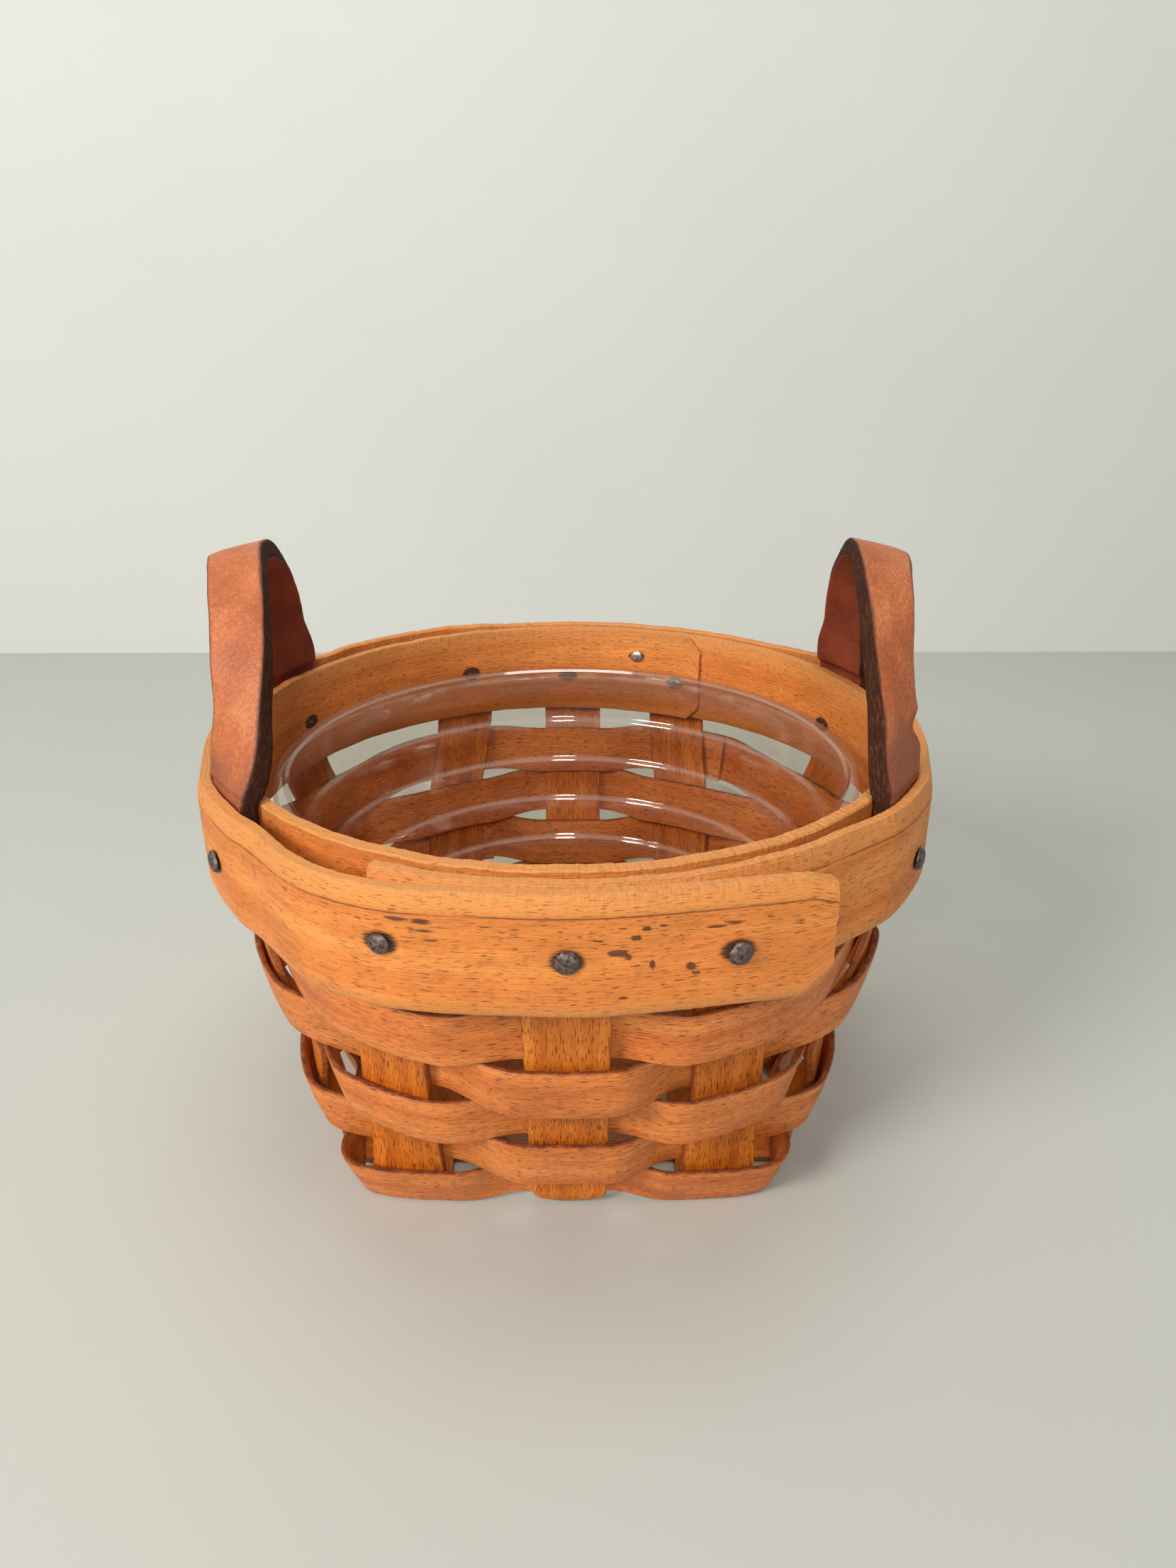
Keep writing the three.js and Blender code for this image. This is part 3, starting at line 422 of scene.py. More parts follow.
def weaverRow(name, row, lapUpright):
    knots = waveKnots(row)
    start = uprightAngle(lapUpright, row["middle"]) - weavers["lap"] / 2
    end = start + weavers["lap"] + 2 * math.pi
    rampStart = end - weavers["lap"] - weavers["ramp"]
    lift = weavers["thickness"] + weavers["lapClearance"]
    count = weavers["stations"]
    seed = random.uniform(0, 100)
    outline = bandOutline(weavers["height"], weavers["thickness"], weavers["rounding"], weavers["columns"])
    runs = []
    for i in range(count + 1):
        angle = mixed(start, end, i / count)
        wave = waveAt(row, knots, angle)
        climb = lift * smooth((angle - rampStart) / (weavers["ramp"] * 0.9))
        runs.append((angle, wave, climb))

    def placeAt(i, a, b):
        angle, wave, climb = runs[i]
        s = i / count * weavers["length"]
        bottom = row["bottom"] + row["lift"] * (1 - wave) / 2
        share = a / weavers["height"] + 0.5
        rough = weavers["roughEdge"] * ruffle(s / 11, seed, 1 if a > 0 else 2)
        rough += weavers["fineEdge"] * ruffle(s / 2.4, seed, 3 if a > 0 else 4)
        z = mixed(bottom, row["top"], share) + rough * (2 * share - 1) * 0.8
        lean = row["lean"] * weavers["height"] / 2
        low, high = wave * row["bottomWave"] + climb - lean, wave * row["topWave"] + climb + lean
        cup = weavers["cup"] * (1 - (2 * share - 1) ** 2) * wave  # the strip bows a little across its width
        thick = b * (1 + weavers["uneven"] * ruffle(s / 13, seed + 5, a / 5))
        outwards = mixed(low, high, share) + cup + thick
        return wallPoint(angle, row["middle"], outwards, z)

    return sweptBand(name, outline, count, placeAt, weavers["length"])


rim = {
    "hoopThickness": 2.9, "clearance": 0.3, "innerThickness": 2.8, "innerWedge": 0.75,
    "outerLapStart": -114.6, "outerLapEnd": -58.2, "spring": 5.2, "springSpan": 24.0,
    "climbStart": 31.0, "climbSpan": 29.0,
    "bulge": 2.4, "bulgeMiddle": 2.0, "bulgeFlat": 3.0, "bulgeFall": 18.0,
    "innerLapStart": 59.3, "innerLapEnd": 104.0, "legFlat": 7.2,
    "looseBack": 126.0, "looseBackFlat": 12.0, "looseBackGap": 3.2, "clip": 3.6, "clipSpan": 2.8,
}
ear = {
    "width": 11.1, "tabWidth": 16.0, "thickness": 4.0, "footThickness": 4.5, "tabThickness": 3.2,
    "height": 34.5, "tilt": 13.0, "point": 1.75, "tabDepth": 19.5, "backTwist": 1.6, "backWaist": 1.3,
    "rounding": 0.9, "columns": 12, "corner": 4, "archStations": 140, "tabStations": 18, "cup": 0.25,
    "footFrom": 0.8, "footSpan": 0.2, "tabFrom": 0.985, "tabSpan": 0.014,
    "left": {"front": -146.6, "back": 155.2, "waist": 2.6, "lean": -1.2, "twist": 5.0, "darkFoot": 9},
    "right": {"front": -32.4, "back": 26.0, "waist": 1.1, "lean": 1.0, "twist": 1.35, "darkFoot": 15},
    "pinches": ((97.0, 1.5, 1.5), (93.0, -0.9, 1.8), (101.5, -0.6, 1.8)),  # height, depth and spread
    "fold": (97.5, 0.5, 1.1),
}
innerSeat = wall["rimHalfWidth"] - splints["thickness"] / 2 - rim["clearance"]


def tabRadius(frontLeg):
    beside = wall["rimHalfWidth"] - splints["thickness"] / 2 + ear["tabThickness"] / 2
    return beside if frontLeg else beside + splints["thickness"] + rim["clearance"]


def swell(angle, centre, flat, fall):  # 1 on the flat, falling to 0 beside it
    away = abs((angle - centre + 180) % 360 - 180)
    return 1 - smooth((away - flat) / fall)


def pushedOut(angle, seat, centre, flat, height):  # the hoop runs straight off what lies under it
    away = abs((angle - centre + 180) % 360 - 180)
    left = math.acos(seat / (seat + height)) - math.radians(max(0, away - flat))
    return seat / math.cos(left) if left > 0 else seat


def outerHoopFace(angle):
    seat = wall["rimHalfWidth"] + splints["thickness"] / 2 + rim["clearance"]
    faces = [pushedOut(angle, seat, rim["looseBack"], rim["looseBackFlat"], rim["looseBackGap"])]
    for leg in ("front", "back"):
        height = tabRadius(leg == "front") + ear["tabThickness"] / 2 + rim["clearance"] - seat
        for side in ("left", "right"):
            faces.append(pushedOut(angle, seat, ear[side][leg], rim["legFlat"], height))
    return max(faces)


def outerHoopRun(angle):
    end, underEnd = rim["outerLapEnd"] + 360, rim["outerLapStart"] + 360
    climb = smooth((angle - (underEnd - rim["climbStart"])) / rim["climbSpan"])
    over = angle > underEnd - rim["climbStart"] - rim["bulgeFall"]
    bulge = swell(angle, underEnd - rim["bulgeMiddle"], rim["bulgeFlat"], rim["bulgeFall"]) if over else 0
    spring = max(0, (angle - (end - rim["springSpan"])) / rim["springSpan"]) ** 2
    lifted = (rim["hoopThickness"] + rim["clearance"]) * climb + rim["bulge"] * bulge + rim["spring"] * spring
    return outerHoopFace(angle) + lifted


def innerHoopFace(angle):
    along = between((angle - rim["innerLapStart"]) / (rim["innerLapEnd"] - rim["innerLapStart"]), 0, 1)
    return innerSeat - rim["innerThickness"] - (rim["innerWedge"] + rim["clearance"]) * (1 - along)


def rimFace(angle):
    onward = rim["outerLapStart"] + (angle - rim["outerLapStart"]) % 360
    return outerHoopRun(onward + 360 if onward < rim["outerLapEnd"] else onward) + rim["hoopThickness"]


def innerFace(angle):
    return innerHoopFace(rim["innerLapStart"] + (angle - rim["innerLapStart"]) % 360)


# One leather strap: up out of the rim in front, over, and down into the rim behind
def earStations(side):
    front = polar(ear[side]["front"], tabRadius(True), wall["rimTop"])
    back = polar(ear[side]["back"], tabRadius(False), wall["rimTop"])
    centre, reach = (front + back) / 2, (front - back).length / 2
    toFront = (front - back).normalized()
    inward = Vector((0, 0, 1)).cross(toFront)
    if inward.dot(centre) > 0:
        inward.negate()

    def tangent(degrees, towards):
        across = Vector((-math.sin(math.radians(degrees)), math.cos(math.radians(degrees)), 0))
        return -across if across.dot(towards) < 0 else across

    turns = []
    for degrees, radial in ((ear[side]["front"], toFront), (ear[side]["back"], -toFront)):
        across = tangent(degrees, radial)
        turns.append(math.atan2(across.dot(radial), across.dot(inward)))
    arch = []
    count = ear["archStations"]
    for i in range(count + 1):
        turn = math.radians(2) + (math.pi - math.radians(4)) * i / count
        level, inFront = math.cos(turn), turn < math.pi / 2
        share = abs(level) ** (ear[side]["twist"] if inFront else ear["backTwist"])
        point = centre + toFront * (reach * level)
        bend = (ear[side]["waist"] if inFront else ear["backWaist"]) * abs(math.sin(2 * turn))
        point += inward * (bend + ear[side]["lean"] * math.sin(turn) ** 2)
        point.z += ear["height"] * math.sin(turn) ** ear["point"]
        rise = ear["height"] * ear["point"] * math.sin(turn) ** (ear["point"] - 1) * level
        along = (Vector((0, 0, rise)) - toFront * (reach * math.sin(turn))).normalized()
        radial = along.cross(inward)
        if radial.z < 0:
            radial.negate()
        radial = radial.lerp(toFront if inFront else -toFront, share).normalized()
        tilt = mixed(math.radians(ear["tilt"]), turns[0] if inFront else turns[1], share)
        across = inward * math.cos(tilt) + radial * math.sin(tilt)
        normal = across.cross(along).normalized()
        if normal.dot(radial) > 0:  # the flesh side faces into the arch
            normal.negate()
        foot = smooth((abs(level) - ear["footFrom"]) / ear["footSpan"])
        intoTab = smooth((abs(level) - ear["tabFrom"]) / ear["tabSpan"])
        width = mixed(ear["width"], ear["tabWidth"], foot)
        thickness = mixed(mixed(ear["thickness"], ear["footThickness"], foot), ear["tabThickness"], intoTab)
        arch.append((point, across, normal, width, thickness))

    def tab(top):  # straight down between the hoops
        point, across, normal, width, _ = top
        steps = ear["tabStations"]
        drops = [Vector((0, 0, ear["tabDepth"] * k / steps)) for k in range(1, steps + 1)]
        return [(point - drop, across, normal, width, ear["tabThickness"]) for drop in drops]

    return tab(arch[0])[::-1] + arch + tab(arch[-1])


hoopProfile = {  # distance from the strip's edge, share of the cut or split, mark of wear
    "topBevel": ((0.0, 1.0, 1.0), (0.7, 0.66, 0.8), (1.6, 0.36, 0.35), (2.6, 0.13, 0.2)),
    "split": ((3.8, 0.3, 0.1), (3.9, 1.0, 0.4), (4.0, 0.2, 0.1)),
    "footBevel": ((3.0, 0.0, 0.0), (2.3, 0.16, 0.1), (1.4, 0.42, 0.3), (0.5, 0.8, 0.8)),
    "backRows": (2.0, 6.0, 11.0, 16.0, 20.0),
}


def hoopOutline(settings):  # height from the middle, depth from the bare face, mark; going round once
    half, thick, cut = settings["height"] / 2, settings["thickness"] / 2, settings["rounding"]
    split, rows = settings["splitDepth"], settings["rows"]
    points = [(half - drop, thick - cut * share, mark) for drop, share, mark in hoopProfile["topBevel"]]
    points.append((half - 3.35, thick - 0.02, 0.1))
    points += [(half - drop, thick - split * share, mark) for drop, share, mark in hoopProfile["split"]]
    points += [(half - 4.2 - (settings["height"] - 7.2) * k / rows, thick, 0.0) for k in range(rows)]
    points += [(rise - half, thick - cut * share, mark) for rise, share, mark in hoopProfile["footBevel"]]
    points += [(-half, thick - cut - 0.2, 1.0), (-half, -thick + 0.25, 1.0), (-half + 0.25, -thick, 0.8)]
    points += [(-half + rise, -thick, 0.0) for rise in hoopProfile["backRows"]]
    return points + [(half - 0.3, -thick, 0.8), (half, -thick + 0.3, 1.0)]


def blotted(angle, z, blots):  # the strongest mark here: (angle, height, half length, half height, strength)
    found = 0.0
    for turn, height, long, tall, strength in blots:
        away = math.radians(abs((angle - turn + 180) % 360 - 180)) * wall["rimHalfWidth"]
        if away < long:
            found = max(found, strength * (1 - smooth(math.hypot(away / long, (z - height) / tall))))
    return found


def hoopBand(name, settings, start, end, sectionAt, stains):
    outline = hoopOutline(settings)
    half, thick, count = settings["height"] / 2, settings["thickness"] / 2, settings["stations"]
    seed = random.uniform(0, 100)
    sections = [sectionAt(mixed(start, end, i / count)) for i in range(count + 1)]
    length = math.radians(end - start) * wall["rimHalfWidth"]
    margin = 6  # the strip keeps its edges' shape and stretches between them

    def rough(s, amount, grain):
        return amount * ruffle(s / grain, seed, 3)

    def placeAt(i, a, b):
        bare, far, low, high = sections[i]
        s = length * i / count
        if a > margin:
            z = high - (half - a)
        elif a < -margin:
            z = low + (half + a)
        else:
            z = mixed(low + half - margin, high - half + margin, (a + margin) / (2 * margin))
        top, foot = smooth((a - half + 2.5) / 2.5), smooth((-a - half + 2) / 2)
        torn = min(0.0, ruffle(s / 3.1, seed, 9) + 0.35) * settings["torn"]
        z += top * (rough(s, 0.28, 7.5) + rough(s, 0.16, 1.3) + torn)
        z += foot * (rough(s + 50, 0.2, 9.0) + rough(s + 50, 0.08, 1.6))
        share = b / (2 * thick) + 0.5
        deeper = 0.10 * ruffle(s / 16, seed, z / 9) + 0.05 * ruffle(s / 3.5, seed, z / 4)
        ragged = 0.22 * ruffle(z / 1.4, seed, share * 2) * (smooth(1 - i / 3) + smooth(1 - (count - i) / 3))
        angle = mixed(start, end, i / count) + ragged
        return polar(angle, mixed(bare, far, share) + deeper * (share - 0.2), z)

    def markedBy(blots, i, a):
        return blotted(mixed(start, end, i / count), wall["rimTop"] - half + a, blots)

    def bevelAt(i, a, b):
        return 1.0 if b > 0 and a > half - 3.95 else 0.5 if b > 0 and a < -half + 2.9 else 0.0

    def crackAt(i, a, b):
        narrow = smooth(1 - abs(a - half + 3.9) / 0.15)
        broken = smooth(1.2 + 1.4 * ruffle(length * i / count / 14, seed, 5))
        return settings["crack"] * narrow * broken if b > 0 else 0.0

    marks = {
        "stain": lambda i, a, b: markedBy(stains, i, a), "crack": crackAt,
        "spot": lambda i, a, b: markedBy(settings["spots"], i, a) if b > 0 else 0.0, "bevel": bevelAt,
    }
    return sweptBand(name, outline, count, placeAt, length, marks)


tacks = {
    "head": 2.12, "brim": 0.18, "dome": 1.05, "shank": 0.6, "tip": 0.8, "seat": 0.2, "sides": 14,
    "dent": 0.22, "crooked": 0.10,
    "stain": (4.6, 3.7, 1.6), "tipStain": (4.2, 2.6, 2.3), "nailStain": (4.0, 2.0, 2.0),
    "placed": {
        "tack_front_left": (249.4, 78.6), "tack_front_middle": (270.61, 76.8),
        "tack_front_right": (290.4, 76.6), "tack_right_front_leg": (-31.0, 74.5),
        "tack_right_middle": (0.0, 76.0), "tack_right_back_leg": (24.4, 75.5),
        "tack_back_right": (64.85, 75.2), "tack_back_middle": (90.79, 75.2),
        "tack_back_left": (113.45, 77.3), "tack_left_back_leg": (156.6, 76.8),
        "tack_left_middle": (180.0, 76.0), "tack_left_front_leg": (-146.0, 76.0),
    },
    "nail": (74.45, 81.4), "nailHead": 1.5, "small": {"tack_front_left": 1.8},
}
mineralFlecks = [  # dark streaks in the wood of the lap: angle, height, half length, half height, strength
    (-113.2, 82.3, 1.2, 0.6, 0.8), (-110.6, 81.4, 1.4, 0.5, 0.6), (-108.6, 83.2, 3.2, 0.8, 1.0),
    (-105.7, 83.0, 3.0, 0.9, 1.0), (-105.4, 81.5, 4.2, 0.6, 0.9), (-104.7, 79.9, 2.6, 0.6, 0.9),
    (-107.0, 81.9, 1.8, 0.5, 0.7), (-88.0, 81.1, 1.2, 0.6, 0.9), (-85.7, 80.4, 1.7, 0.5, 0.9),
    (-83.6, 78.0, 2.6, 1.1, 1.3), (-82.4, 77.1, 1.4, 0.9, 0.9), (-81.5, 80.5, 1.8, 0.9, 1.0),
    (-80.3, 82.0, 1.5, 0.9, 0.9), (-78.4, 82.3, 1.5, 0.6, 0.9), (-83.1, 82.2, 1.2, 0.5, 0.8),
    (-79.6, 75.5, 1.0, 1.7, 1.0), (-75.1, 74.6, 1.6, 1.5, 0.9), (-74.4, 73.3, 1.3, 1.0, 0.9),
    (-72.3, 81.3, 3.0, 0.6, 1.0), (-70.1, 81.6, 3.4, 0.6, 1.0), (-76.4, 80.4, 1.0, 0.5, 0.8),
    (-85.9, 73.3, 2.2, 0.4, 0.6), (-83.9, 71.8, 2.0, 0.8, 0.6), (-82.2, 72.7, 1.6, 0.5, 0.7),
    (-82.9, 69.8, 1.4, 0.6, 1.0), (-79.0, 71.0, 1.0, 0.5, 0.5), (-98.0, 70.5, 1.0, 0.5, 0.5),
    (-118.5, 79.5, 1.6, 0.5, 0.7),
]
outerHoop = {
    "height": 22.2, "thickness": 2.9, "rounding": 0.9, "splitDepth": 0.4, "torn": 0.5, "crack": 1.0,
    "rows": 30, "stations": 760, "spots": mineralFlecks,
}
innerHoop = {
    "height": 22.2, "thickness": 2.8, "rounding": 0.5, "splitDepth": 0.06, "torn": 0.3, "crack": 0.0,
    "rows": 14, "stations": 700, "spots": [],
}


def clipAt(distance):  # the corners of a strip's end are cut off
    return rim["clip"] * (1 - between(distance / rim["clipSpan"], 0, 1))


def outerSection(angle):
    face = outerHoopRun(angle)
    if angle < 300:  # evened, up to the springing end of the lap
        face = sum(outerHoopRun(angle + turn) for turn in (-1.5, -0.5, 0.5, 1.5)) / 4
    clip = clipAt(rim["outerLapEnd"] + 360 - angle)
    return face, face + rim["hoopThickness"], wall["hoopBottom"] + clip, wall["rimTop"] - clip * 0.35


def innerSection(angle):
    lap = rim["innerLapEnd"] - rim["innerLapStart"]
    along = between((angle - rim["innerLapStart"]) / lap, 0, 1)
    behind = between((angle - 360 - rim["innerLapStart"]) / lap, 0, 1)
    start = innerSeat - rim["innerThickness"] - rim["clearance"]
    bare = mixed(start, innerSeat, smooth(along))
    whole = innerHoopFace(angle)
    far = mixed(whole, innerSeat - rim["innerWedge"], smooth(behind))
    clip = clipAt(angle - rim["innerLapStart"])
    return bare, far, wall["hoopBottom"] + clip, wall["rimTop"] - clip


def earStrap(name, side):
    stations = earStations(side)
    outline = bandOutline(ear["tabWidth"], ear["thickness"], ear["rounding"], ear["columns"], ear["corner"])
    seed = random.uniform(0, 100)
    count = len(stations) - 1
    lengths = [0.0]
    for before, after in zip(stations, stations[1:]):
        lengths.append(lengths[-1] + (after[0] - before[0]).length)

    def placeAt(i, a, b):
        point, across, normal, width, thickness = stations[i]
        s = lengths[i]
        wavy = 1 + 0.035 * ruffle(s / 8, seed, 1 if a > 0 else 2)
        wavy += 0.012 * ruffle(s / 2.2, seed, 4 if a > 0 else 5)
        thick = thickness / ear["thickness"] * (0.93 + 0.09 * ruffle(s / 7, seed, a / 5))
        cup = ear["cup"] * (1 - (2 * a / ear["tabWidth"]) ** 2)
        aside = a * width / ear["tabWidth"] * wavy
        if side == "right" and i < count / 2:  # pinched on its outer edge, low on the front leg
            pinch = sum(deep * math.exp(-((point.z - z) / long) ** 2) for z, deep, long in ear["pinches"])
            aside += pinch * smooth((-a - 2) / 6)
            z, deep, long = ear["fold"]
            cup += deep * math.exp(-((point.z - z + a * 0.35) / long) ** 2) * smooth((-a + 1) / 6)
        return point + across * aside + normal * (b * thick - cup)

    def footAt(i, a, b):  # darker towards the foot, and higher up on the right ear
        darkTo = wall["rimTop"] + ear[side]["darkFoot"] + 4 * ruffle(lengths[i] / 9, seed, a / 4)
        return 0.9 * smooth((darkTo - stations[i][0].z) / 10)

    return sweptBand(name, outline, count, placeAt, lengths[-1], {"foot": footAt})


# A turned piece: a ring of points is raised and resized from one level of its profile to the next
def turnedPiece(name, profile, sides):
    bpy.ops.object.select_all(action="DESELECT")
    radius, z = profile[0]
    bpy.ops.mesh.primitive_circle_add(
        vertices=sides, radius=radius * mm, fill_type="NGON", location=(0, 0, z * mm),
    )
    piece = bpy.context.object
    piece.name = name
    piece.data.name = name
    bpy.ops.object.transform_apply(location=True)
    bpy.ops.object.mode_set(mode="EDIT")
    bpy.ops.mesh.select_all(action="SELECT")
    for nextRadius, nextZ in profile[1:]:
        bpy.ops.mesh.extrude_region_move(TRANSFORM_OT_translate={"value": (0, 0, (nextZ - z) * mm)})
        grow = nextRadius / radius
        bpy.ops.transform.resize(value=(grow, grow, 1), center_override=(0, 0, nextZ * mm))
        radius, z = nextRadius, nextZ
    bpy.ops.mesh.select_all(action="SELECT")
    bpy.ops.mesh.normals_make_consistent(inside=False)
    bpy.ops.object.mode_set(mode="OBJECT")
    bpy.ops.object.shade_smooth_by_angle(angle=math.radians(35))
    return piece


def tackProfile(length, head):  # from the tip, along the shank, under the head and over its dome
    dome, shank, brim = tacks["dome"] * head / tacks["head"], tacks["shank"], tacks["brim"]
    profile = [(0.08, -length), (0.3, -length + 0.5), (shank, -length + 1.4), (shank, -0.6), (shank, 0.0)]
    profile += [(head * 0.9, 0.0), (head, brim)]
    for degrees in (12, 26, 40, 54, 68, 80):
        turn = math.radians(degrees)
        profile.append((head * math.cos(turn) ** 0.8, brim + (dome - brim) * math.sin(turn)))
    return profile


def drivenTack(name, angle, z, face, length, head, hammered, inwards=True):
    piece = turnedPiece(name, tackProfile(length, head), tacks["sides"])
    seed = random.uniform(0, 50)
    for vertex in piece.data.vertices:  # the hammer has left the head uneven
        co = vertex.co * 1000
        if co.z > 0.05:
            flat = hammered * ruffle(co.x * 0.7, co.y * 0.7 + seed, 0)
            reach = 1 + tacks["crooked"] * hammered * ruffle(math.atan2(co.y, co.x) * 1.6, seed, 4)
            height = min(co.z + tacks["dent"] * flat, tacks["dome"])
            vertex.co = Vector((co.x * reach, co.y * reach, height)) * mm
    headwards = polar(angle, 1, 0) * (1 if inwards else -1)
    matrix = headwards.to_track_quat("Z", "Y").to_matrix().to_4x4()
    matrix.translation = polar(angle, face, z) * mm
    piece.data.transform(matrix)
    return piece


liner = {
    "lipRadius": 61.4, "lipTop": 79.2, "lipDepth": 3.2, "lipWidth": 2.2, "wall": 1.1,
    "floor": 3.65, "floorRadius": 39.5, "floorEdge": 3.0, "sides": 160,
    "steps": 6, "stepOut": 0.9, "stepShift": 0.1, "stepTall": 1.3,
}


def linerLevels():  # the foot of its wall, the underside of its lip and the rise from step to step
    foot = liner["floor"] + liner["floorEdge"] * 0.7
    lipBottom = liner["lipTop"] - liner["lipDepth"]
    return foot, lipBottom, (lipBottom - foot) / (liner["steps"] + 1)


def linerProfile():  # up the outside, over the lip and down the inside
    floor, edge, thick = liner["floor"], liner["floorEdge"], liner["wall"]
    lipRadius, lipTop = liner["lipRadius"], liner["lipTop"]
    foot, lipBottom, stepHeight = linerLevels()
    topRadius = lipRadius - liner["lipWidth"]
    slope = (topRadius - liner["floorRadius"] - liner["steps"] * liner["stepOut"]) / (liner["steps"] + 1)
    flat = liner["floorRadius"] - edge
    outside = [(0.5, floor + 0.5), (12.0, floor + 0.3), (flat - 2, floor + 0.1), (flat, floor)]
    for degrees in (20, 40, 60, 80):
        turn = math.radians(degrees)
        outside.append((flat + edge * math.sin(turn), foot - edge * 0.7 * math.cos(turn)))
    radius = liner["floorRadius"]
    for i in range(1, liner["steps"] + 1):
        z = foot + stepHeight * (i + liner["stepShift"])
        outside.append((radius + slope * 0.5, z - stepHeight * 0.5))
        radius += slope
        for share in (0.0, 0.2, 0.4, 0.6, 0.8, 1.0):
            outside.append((radius + liner["stepOut"] * smooth(share), z - liner["stepTall"] * (1 - share)))
        radius += liner["stepOut"]
    outside.append((radius + slope * 0.5, lipBottom - stepHeight * 0.5))
    inside = [(r - thick, h + thick * 0.35) for r, h in outside[::-1] if r > flat - 1]
    lip = [
        (topRadius, lipBottom), (lipRadius - 0.5, lipBottom), (lipRadius, lipBottom + 0.5),
        (lipRadius, lipTop - 1.0), (lipRadius - 0.35, lipTop - 0.25), (lipRadius - 0.9, lipTop),
        (topRadius - 0.3, lipTop), (topRadius - 0.9, lipTop - 0.5), (topRadius - 1.1, lipBottom),
    ]
    last = [(flat - 1.4, floor + thick + 0.1), (12.0, floor + thick + 0.4), (0.5, floor + thick + 0.6)]
    return outside + lip + inside + last


# Materials
colourOut, colourA, colourB = 2, 6, 7  # sockets of a Mix node for colours


def linear(code):
    parts = [int(code[k:k + 2], 16) / 255 for k in (0, 2, 4)]
    return [p / 12.92 if p <= 0.04045 else ((p + 0.055) / 1.055) ** 2.4 for p in parts] + [1.0]


def perMetre(size):  # how often a pattern of this size repeats in a metre
    return 1000 / size


def addNode(tree, kind, settings=None, links=None):  # a link from a node takes its first output
    made = tree.nodes.new("ShaderNode" + kind)
    for key, value in (settings or {}).items():
        if isinstance(key, int) or key in made.inputs:
            made.inputs[key].default_value = value
        else:
            setattr(made, key, value)
    for key, source in (links or {}).items():
        socket = source.outputs[0] if isinstance(source, bpy.types.Node) else source
        tree.links.new(socket, made.inputs[key])
    return made


def newMaterial(name):
    material = bpy.data.materials.new(name)
    material.use_nodes = True
    material.node_tree.nodes.clear()
    return material, material.node_tree


def rampStops(ramp, stops):
    while len(ramp.color_ramp.elements) < len(stops):
        ramp.color_ramp.elements.new(0.5)
    for element, (place, colour) in zip(ramp.color_ramp.elements, stops):
        element.position = place
        element.color = linear(colour)
    return ramp


def marksOf(tree, *keys):
    return {key: addNode(tree, "Attribute", {"attribute_name": key}).outputs["Fac"] for key in keys}


# Rived maple splint: fine straight grain and thin dark pores along it, golden brown with age.
# Real fibres and pores are under 0.1 mm across. They are drawn about 0.24 mm wide so that they show.
splintMaple = {
    "low": "b65c14", "middle": "ca6b16", "high": "dc7f26", "fibre": 0.24, "fleck": "5a2408", "edge": "8a4a1e",
    "bandLong": 50.0, "bandWide": 2.6, "fibreLong": 8.0, "fibreWide": 0.24, "silkLong": 1.6, "silkWide": 1.0,
    "fleckLong": 2.6, "fleckWide": 0.24, "fleckFrom": 0.592, "fleckFade": 0.05, "mottle": 14.0, "dirt": 2.4,
    "roughness": 0.55, "glossRange": 0.12, "bump": 0.00018, "sawLong": 0.9, "sawWide": 5.0, "sawDeep": 3.0,
    "stain": "21130f", "spot": "3a1c18", "bevel": "e3924a", "crack": "4a2410",
}
weaverMaple = dict(  # the weavers are thinner and redder, with darker edges: sawn edges, and painted shade where the rows meet
    splintMaple, low="c8692a", middle="d87a35", high="e48c46", fibre=0.25, fleck="542410", edge="64301a",
    bandWide=4.0, fibreLong=6.0, fibreWide=0.2, fleckLong=1.9, fleckWide=0.22, fleckFrom=0.603,
)
hoopMaple = dict(  # the hoops are shaved smooth, so they are paler and show broad soft bands
    splintMaple, low="d07430", middle="dd8339", high="e89246", fibre=0.2, fleck="602a12", edge="d08a48",
    bandLong=70.0, bandWide=5.0, fibreLong=9.0, fleckLong=2.1, fleckWide=0.22, fleckFrom=0.625,
)


